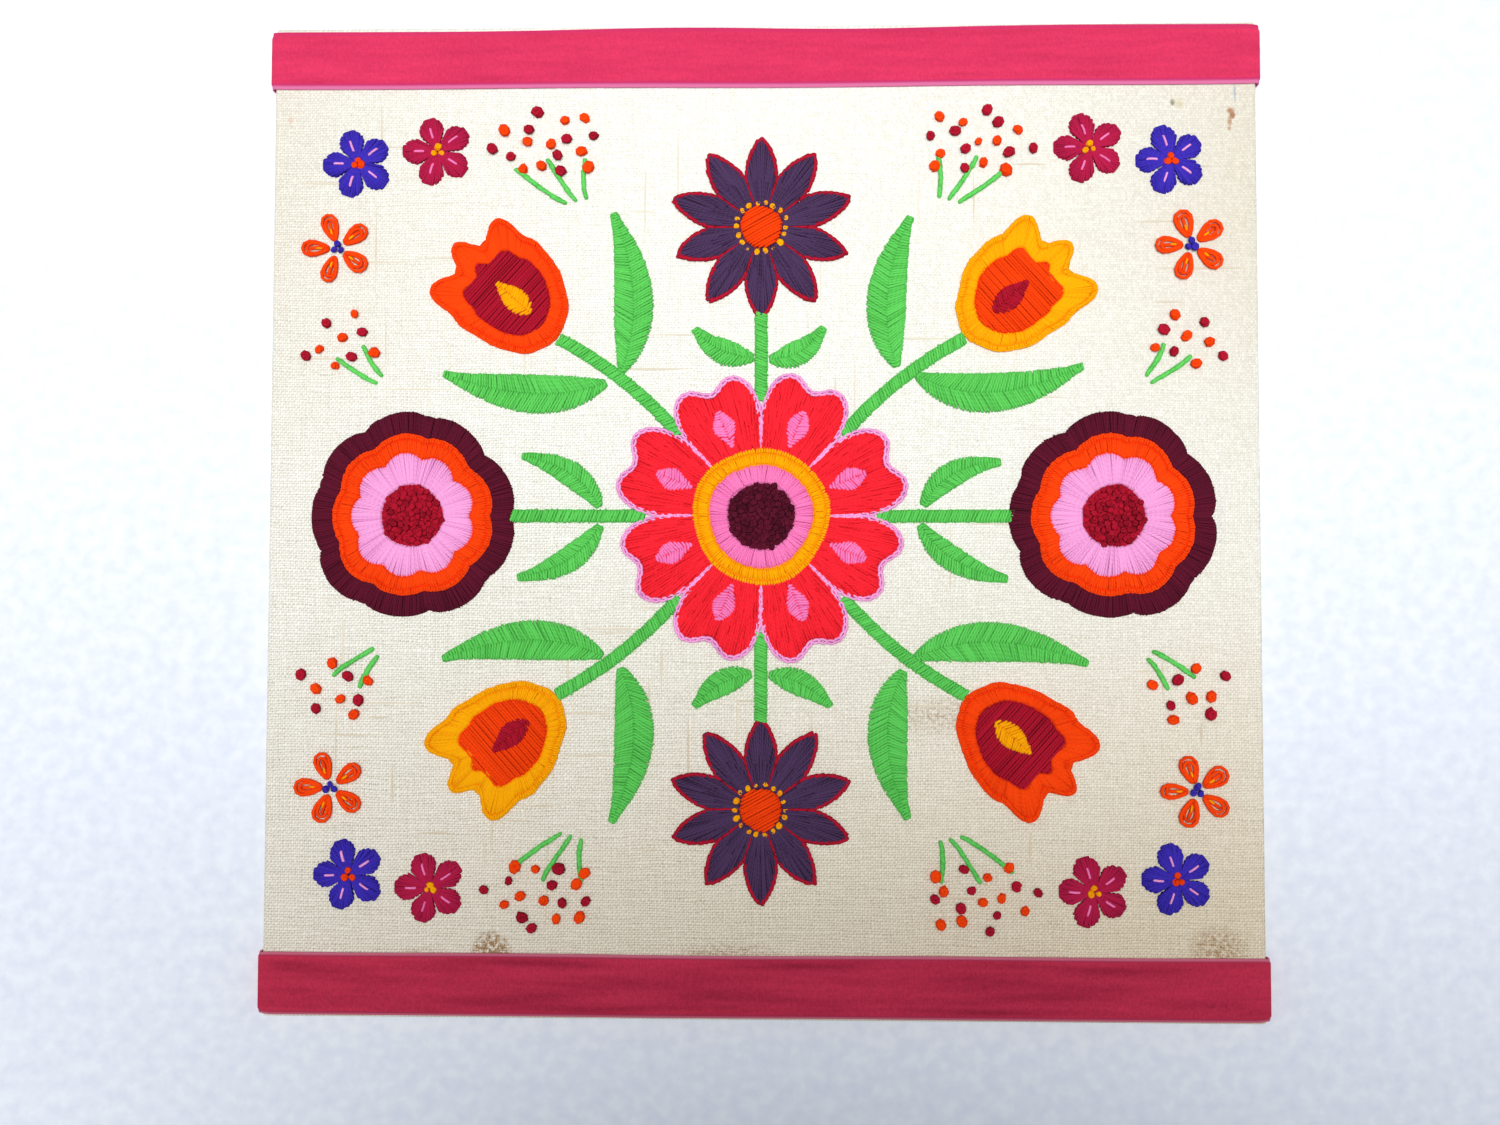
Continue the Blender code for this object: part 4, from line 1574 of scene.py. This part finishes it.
@dataclass
class LinenPanel:
    """The linen, stretched over its board: a closed sheet with rounded edges and a barely uneven face."""

    edge_round: float = 1.5
    columns: int = 110
    rows: int = 110
    unevenness: float = 0.1

    def rings(self, half: Array, middle: Array) -> Array:
        """The panel's outline at each of its rows.

        The section across the panel is a rounded rectangle, and towards the top and bottom ends its radius
        shrinks along a quarter circle. The face is lifted by two slow sines, one along and one across.

        Args:
            half: half the panel's size.
            middle: its middle.

        Returns:
            The rows' points, each from the right edge over the face and back under it.
        """
        steps = 5
        arc = np.linspace(0, np.pi / 2, steps)
        flat = np.linspace(1, -1, self.columns)[1:-1]
        corner_x, corner_z = half[0] - self.edge_round, half[2] - self.edge_round
        corner = np.full(steps, corner_x)
        base_x = np.concatenate([corner, flat * corner_x, -corner])
        lean_x = np.concatenate([np.cos(arc), 0 * flat, -np.cos(arc[::-1])])
        lean_z = np.concatenate([np.sin(arc), 0 * flat + 1, np.sin(arc[::-1])])
        front_base = np.column_stack([base_x, np.full_like(base_x, corner_z)])
        fronts = (front_base, np.column_stack([lean_x, lean_z]))
        mirror = np.array([1.0, -1.0])
        base, lean = (np.concatenate([front, front[::-1] * mirror]) for front in fronts)

        end_turn = np.linspace(0.04, np.pi / 2, steps)
        end_y = half[1] - self.edge_round * (1 - np.cos(end_turn))
        end_radius = self.edge_round * np.sin(end_turn)
        inner_y = np.linspace(-1, 1, self.rows)[1:-1] * (half[1] - self.edge_round)
        row_y = np.concatenate([-end_y, inner_y, end_y[::-1]])
        radius = np.concatenate([end_radius, np.full_like(inner_y, self.edge_round), end_radius[::-1]])
        section = base[None] + radius[:, None, None] * lean[None]
        x, z = section[..., 0], section[..., 1]
        y = np.broadcast_to(row_y[:, None], x.shape)
        wave = np.sin(x / 31 + 0.9 * np.sin(y / 57)) + np.sin(y / 43 + 0.8 * np.sin(x / 71) + 2)
        fade = np.clip((half[0] - np.abs(x)) / 12, 0, 1) * np.clip((half[1] - np.abs(y)) / 12, 0, 1)
        z = z + np.where(z > 0, self.unevenness / 2 * wave * fade, 0)
        return np.stack([x, y, z], axis=2) + middle

    def work(self) -> list[bpy.types.Object]:
        low, high = (np.array(corner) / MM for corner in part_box("linen_panel"))
        half = (high - low) / 2
        points, quads = tube(self.rings(half, (high + low) / 2))
        surface = Surface(points, quads).outward()
        cloth = surface.to_object("linen", LinenFinish().material())
        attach(cloth, BODY)
        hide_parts("linen_panel")
        log.info("linen: %d faces", len(quads))
        return [cloth, self.slubs(half, high[2])]

    def slubs(self, half: Array, face: float) -> bpy.types.Object:
        """Thick lengths of thread that stand up from the weave, along both ways of the cloth.

        Args:
            half: half the panel's size.
            face: height of its face.

        Returns:
            The slubs as one piece.
        """
        hand = np.random.default_rng(5)
        count = 110
        length = hand.uniform(7, 38, count)
        level = hand.uniform(0, 1, count) < 0.5
        x = hand.uniform(-half[0] + 22, half[0] - 22, count)
        y = hand.uniform(-half[1] + 46, half[1] - 46, count)
        share = np.linspace(-0.5, 0.5, 9)
        along = share[None, :] * length[:, None]
        stray = hand.normal(0, 0.15, (count, 1)) * np.cos(np.pi * share)[None, :]
        path_x = x[:, None] + np.where(level[:, None], along, stray)
        path_y = y[:, None] + np.where(level[:, None], stray, along)
        path_z = np.full((count, 9), face + 0.02)
        swell = np.cos(np.pi * share * 0.92)[None, :] * hand.uniform(0.7, 1.3, (count, 1))
        strands = Strands(
            np.stack([path_x, path_y, path_z], axis=2), 0.42 * swell, 0.2 * swell, hand.uniform(0.3, 1, count)
        )
        piece = strands.surface(6).to_object("linen_slubs", SlubFinish().material())
        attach(piece, BODY)
        return piece


@dataclass
class VelvetRibbon:
    """A velvet ribbon across the face that turns round both sides and ends on the back."""

    node: str
    side: int
    inset: float
    creased: float
    outer_edge: float
    selvedge: float
    width: float = 25.0
    under: float = 30.0
    ground: float = 0.5
    pile: float = 0.5
    rim: float = 0.1
    drawn_in: float = 1.6
    turn_start: float = 196.0
    turn_reach: float = 7.0
    steps_across: int = 44

    def middle_line(self, low: Array, high: Array) -> Array:
        """X and Z of the ribbon's middle line.

        It runs under the back, round the side on half an ellipse, across the front and back again.

        Args:
            low: lowest corner of the ribbon's box.
            high: highest corner of it.

        Returns:
            The points, from the right to the left.
        """
        panel = np.array(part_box("linen_panel")) / MM
        edge = panel[1][0]
        thick = 0.35 * self.ground + self.pile + self.rim
        back = low[2] + thick
        front = panel[1][2] + 0.3 + 0.9 * self.ground
        bulge = high[0] - thick - edge
        turn = np.linspace(-np.pi / 2, np.pi / 2, 15)
        under_x = np.linspace(edge - self.under, edge, 14)[:-1]
        side_z = (front + back) / 2 + (front - back) / 2 * np.sin(turn)
        across_x = np.linspace(edge, -edge, 202)[1:-1]
        right = np.concatenate(
            [
                np.column_stack([under_x, np.full_like(under_x, back)]),
                np.column_stack([edge + bulge * np.cos(turn), side_z]),
            ]
        )
        across = np.column_stack([across_x, np.full_like(across_x, front)])
        return np.concatenate([right, across, right[::-1] * np.array([-1, 1])])

    def creases(self, x: Array, share: Array) -> tuple[Array, Array]:
        """Long soft troughs that meander along the front.

        Each trough is a bell curve across the ribbon about a line that wanders as a sine, and it comes
        and goes along the ribbon as another sine.

        Args:
            x: place along the panel, in millimetres.
            share: place across the ribbon, from the panel's edge inwards.

        Returns:
            The depth in millimetres, and how hollow each place is from 0 to 1, which sets the painted crease
            shade.
        """
        # Place across, how far it wanders, its wave's length, its start, its width, its depth
        troughs = (
            (0.84, 0.03, 190, 0.3, 0.06, 0.28),
            (0.62, 0.10, 240, 1.7, 0.09, 0.20),
            (0.32, 0.08, 170, 3.9, 0.08, 0.20),
            (0.14, 0.03, 260, 2.2, 0.05, 0.22),
        )
        depth = np.zeros(np.broadcast_shapes(x.shape, share.shape))
        for place, wander, wave, start, width, deep in troughs:
            line = place + wander * np.sin(2 * np.pi * x / wave + start + self.side)
            strength = 0.5 + 0.5 * np.sin(2 * np.pi * x / (0.61 * wave) + 2 * start)
            depth = depth + deep * strength * np.exp(-(((share - line) / width) ** 2))
        return self.creased * depth, np.clip(self.creased * depth / 0.3, 0, 1)

    def rings(self, line: Array, outer_y: float) -> tuple[Array, dict[str, Array]]:
        """The ribbon's section at each point of its middle line.

        Above the middle line the section is the ground cloth plus the pile, which rises over a
        millimetre from each selvedge. Below it is flat. Where the ribbon turns round a side it is drawn in,
        by a square of the way into the turn. Elsewhere it was stitched on a little short of the linen's
        end, which shows beyond it.

        Args:
            line: X and Z of the middle line.
            outer_y: Y of the ribbon's edge at the panel's end.

        Returns:
            The sections' points, and how much each is selvedge and how much it lies in a crease, which sets
            the painted crease shade.
        """
        along = np.gradient(line, axis=0)
        along /= np.linalg.norm(along, axis=1, keepdims=True)
        normal_x, normal_z = along[:, 1:], -along[:, :1]
        x, z = line[:, :1], line[:, 1:]
        share = 0.5 - 0.5 * np.cos(np.pi * np.linspace(0, 1, self.steps_across))
        from_edge = np.minimum(share, 1 - share) * self.width

        wander = 0.35 * np.sin(x / 37 + self.side) * np.cos(x / 83)
        turned = np.clip((np.abs(x) - self.turn_start) / self.turn_reach, 0, 1) ** 2
        drawn_in = self.drawn_in * turned * (0.8 - share)
        inset = self.inset * (0.6 + 0.4 * np.sin(x / 47 + 2 * np.sin(x / 90))) * (1 - turned)
        y = outer_y - self.side * (share * (self.width - inset + wander) + drawn_in + inset)

        pile = self.pile * np.clip((from_edge - 0.8 * self.selvedge) / 0.7, 0, 1) ** 0.6
        rim = self.rim * np.exp(-(((from_edge - 0.45 * self.selvedge) / 0.35) ** 2))
        is_front = (np.abs(normal_z) > 0.99) & (z > self.ground * 3)
        inside = np.clip((200 - np.abs(x)) / 10, 0, 1) * is_front
        depth, hollow = self.creases(x, share)
        ripple = 0.3 * (0.5 + 0.5 * np.sin(x / 29 + 5 * share))
        dents = (ripple - depth) * inside * np.sin(np.pi * share) ** 0.3
        heights = (self.ground * 0.35 + pile + rim + dents, np.full_like(share, -0.9 * self.ground))
        upper, lower = (np.stack([x + normal_x * h, y, z + normal_z * h], axis=2) for h in heights)
        rings = np.concatenate([upper, lower[:, ::-1]], axis=1)

        edge = np.clip(1.3 - from_edge / (1.15 * self.selvedge), 0, 1)
        edge = edge * np.where(share < 0.5, self.outer_edge, 1)
        edges = np.broadcast_to(np.concatenate([edge, edge[::-1]]), rings.shape[:2])
        # Painted shade: the crease share becomes the tone mark, which darkens the velvet's colour in its
        # creases.
        crease_shade = np.concatenate([hollow * inside, 0 * hollow], axis=1)
        return rings, {"edge": edges.ravel(), "tone": crease_shade.ravel()}

    def work(self) -> list[bpy.types.Object]:
        low, high = (np.array(corner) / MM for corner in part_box(self.node))
        line = self.middle_line(low, high)
        rings, marks = self.rings(line, high[1] if self.side > 0 else low[1])
        points, quads = tube(rings)
        surface = Surface(points, quads, marks=marks).outward()
        ribbon = surface.to_object(f"{self.node}_velvet", VELVETS[self.node].material())
        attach(ribbon, BODY)
        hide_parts(self.node)
        log.info("%s: %d faces", ribbon.name, len(quads))
        return [ribbon]


@dataclass
class Studio:
    """Pale floor, soft light and the camera of the photograph.

    The camera's place and aim were fitted to the panel's corners. The lights' places, sizes and spreads
    were fitted to how bright the linen and the floor are: even over the upper part, then falling off
    towards the foot, most of all at its right, with hardly a cast shadow.
    """

    camera_place: tuple[float, float, float] = (0.009, -0.0404, 0.5721)
    camera_aim: tuple[float, float, float] = (-0.0044, -0.0188, 0.0063)
    camera_roll_degrees: float = 0.117
    lens_px: float = 1400.0
    floor_reach: float = 3.0
    # Place, size, spread in degrees and watts of each softbox
    boxes: dict[str, tuple[tuple[float, float, float], tuple[float, float], float, float]] = field(
        default_factory=lambda: {
            "main_softbox": ((-0.43, 0.33, 0.724), (1.85, 0.98), 52.4, 5.46),
            "foot_softbox": ((-0.52, -0.56, 0.74), (0.67, 0.67), 45.7, 1.1),
            "side_softbox": ((0.42, -0.36, 0.74), (0.4, 0.4), 50.0, 0.2),
        }
    )

    def build(self) -> None:
        """Makes the floor, the lights, the world and the camera."""
        self.floor()
        self.softboxes()
        world = bpy.data.worlds.new("room_light")
        world.use_nodes = True
        background = world.node_tree.nodes["Background"]
        background.inputs["Color"].default_value = linear("#EDF3FF")
        background.inputs["Strength"].default_value = 0.32
        bpy.context.scene.world = world
        bpy.context.scene.view_settings.view_transform = "Standard"
        self.camera()

    def floor(self) -> None:
        """A plain pale floor under the panel."""
        reach = self.floor_reach / MM
        corners = np.array([[-reach, -reach, 0], [reach, -reach, 0], [reach, reach, 0], [-reach, reach, 0]])
        sheet = Surface(corners, np.array([[0, 1, 2, 3]]))
        sheet.to_object("floor", PaperFinish().material())

    def softboxes(self) -> None:
        """Level softboxes with grids: a wide one over the top left and weak ones beside the foot."""
        for name, (place, size, spread, watts) in self.boxes.items():
            data = bpy.data.lights.new(name, "AREA")
            data.shape = "RECTANGLE"
            data.size, data.size_y = size
            data.spread = math.radians(spread)
            data.energy = watts
            lamp = bpy.data.objects.new(name, data)
            lamp.location = place
            bpy.context.scene.collection.objects.link(lamp)

    def camera(self) -> None:
        """Adds the camera at the photograph's place, with its lens in the sensor's millimetres."""
        data = bpy.data.cameras.new("camera")
        data.sensor_width = SENSOR_WIDTH_MM
        data.lens = SENSOR_WIDTH_MM * self.lens_px / PHOTO_WIDTH_PX
        data.clip_start = 0.01
        camera = bpy.data.objects.new("camera", data)
        place, aim = Vector(self.camera_place), Vector(self.camera_aim)
        back = (place - aim).normalized()
        roll = math.radians(self.camera_roll_degrees)
        up = Vector((-math.sin(roll), math.cos(roll), 0.0))
        right = up.cross(back).normalized()
        axes = Matrix((right, back.cross(right), back)).transposed()
        camera.matrix_world = Matrix.Translation(place) @ axes.to_4x4()
        bpy.context.scene.collection.objects.link(camera)
        bpy.context.scene.camera = camera


FLORET_PLACES = {"corner": (166.0, 145.0), "upper": (133.0, 150.0), "side": (174.0, 110.0)}
FLORET_YARNS = {
    "corner": (Yarn.VIOLET, Yarn.ORANGE, Yarn.LAVENDER),
    "upper": (Yarn.MAGENTA, Yarn.GOLDEN, Yarn.PINK),
    "side": (Yarn.ORANGE, Yarn.VIOLET, Yarn.GOLDEN),
}


def corner_work(face: float, corner: str, signs: tuple[int, int], seed: int) -> list[bpy.types.Object]:
    """Sews what grows in one corner.

    Args:
        face: height of the linen's face.
        corner: the corner's name.
        signs: signs of X and Y in that corner.
        seed: start of its random draws.

    Returns:
        The pieces.
    """
    warm = signs[0] * signs[1] > 0
    band, inner, drop = (
        (Yarn.GOLDEN, Yarn.ORANGE, Yarn.CRIMSON) if warm else (Yarn.ORANGE, Yarn.CRIMSON, Yarn.GOLDEN)
    )
    made = Tulip(face, corner, signs, seed, band, inner, drop).work()
    leaves = {leaf: (points, signs) for leaf, points in TULIP_LEAVES.items()}
    made += Foliage(face, corner, seed + 1, TULIP_STEM, signs, leaves, widest=8.0).work()
    for step, (place, (x, y)) in enumerate(FLORET_PLACES.items()):
        petal, knot, vein = FLORET_YARNS[place]
        floret = Floret(face, f"floret_{corner}_{place}", seed + 2 + step, petal, knot, vein, place == "side")
        made += floret.work((x * signs[0], y * signs[1]))
    made += BerrySpray(face, corner, signs, seed + 7).work()
    return made


def side_work(face: float) -> list[bpy.types.Object]:
    """Sews the asters and cockades and the foliage that joins them to the rosette."""
    made = []
    for seed, (place, side) in enumerate((("north", 1), ("south", -1))):
        made += Aster(face, f"aster_{place}", 30 + seed).work()
        leaves = {"left": (TOP_LEAF, (-1, side)), "right": (TOP_LEAF, (1, side))}
        made += Foliage(face, place, 34 + seed, TOP_STEM, (1, side), leaves).work()
    for seed, (place, side) in enumerate((("east", 1), ("west", -1))):
        made += Cockade(face, f"cockade_{place}", 40 + seed).work()
        leaves = {"upper": (SIDE_LEAF, (side, 1)), "lower": (SIDE_LEAF, (side, -1))}
        made += Foliage(face, place, 44 + seed, SIDE_STEM, (side, 1), leaves).work()
    return made


def main() -> None:
    """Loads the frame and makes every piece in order."""
    logging.basicConfig(level=logging.INFO, format="%(name)s: %(message)s")
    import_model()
    Studio().build()
    VelvetRibbon("ribbon_top", 1, inset=1.2, creased=0.3, outer_edge=0.3, selvedge=1.9).work()
    VelvetRibbon("ribbon_bottom", -1, inset=0.2, creased=1.0, outer_edge=0.8, selvedge=1.3).work()
    LinenPanel().work()
    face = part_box("linen_panel")[1].z / MM
    made = Rosette(face).work()
    made += side_work(face)
    for step, (corner, signs) in enumerate(QUADRANTS.items()):
        made += corner_work(face, corner, signs, 100 + 20 * step)
    log.info("%d pieces of needlework", len(made))


if __name__ == "__main__":
    main()
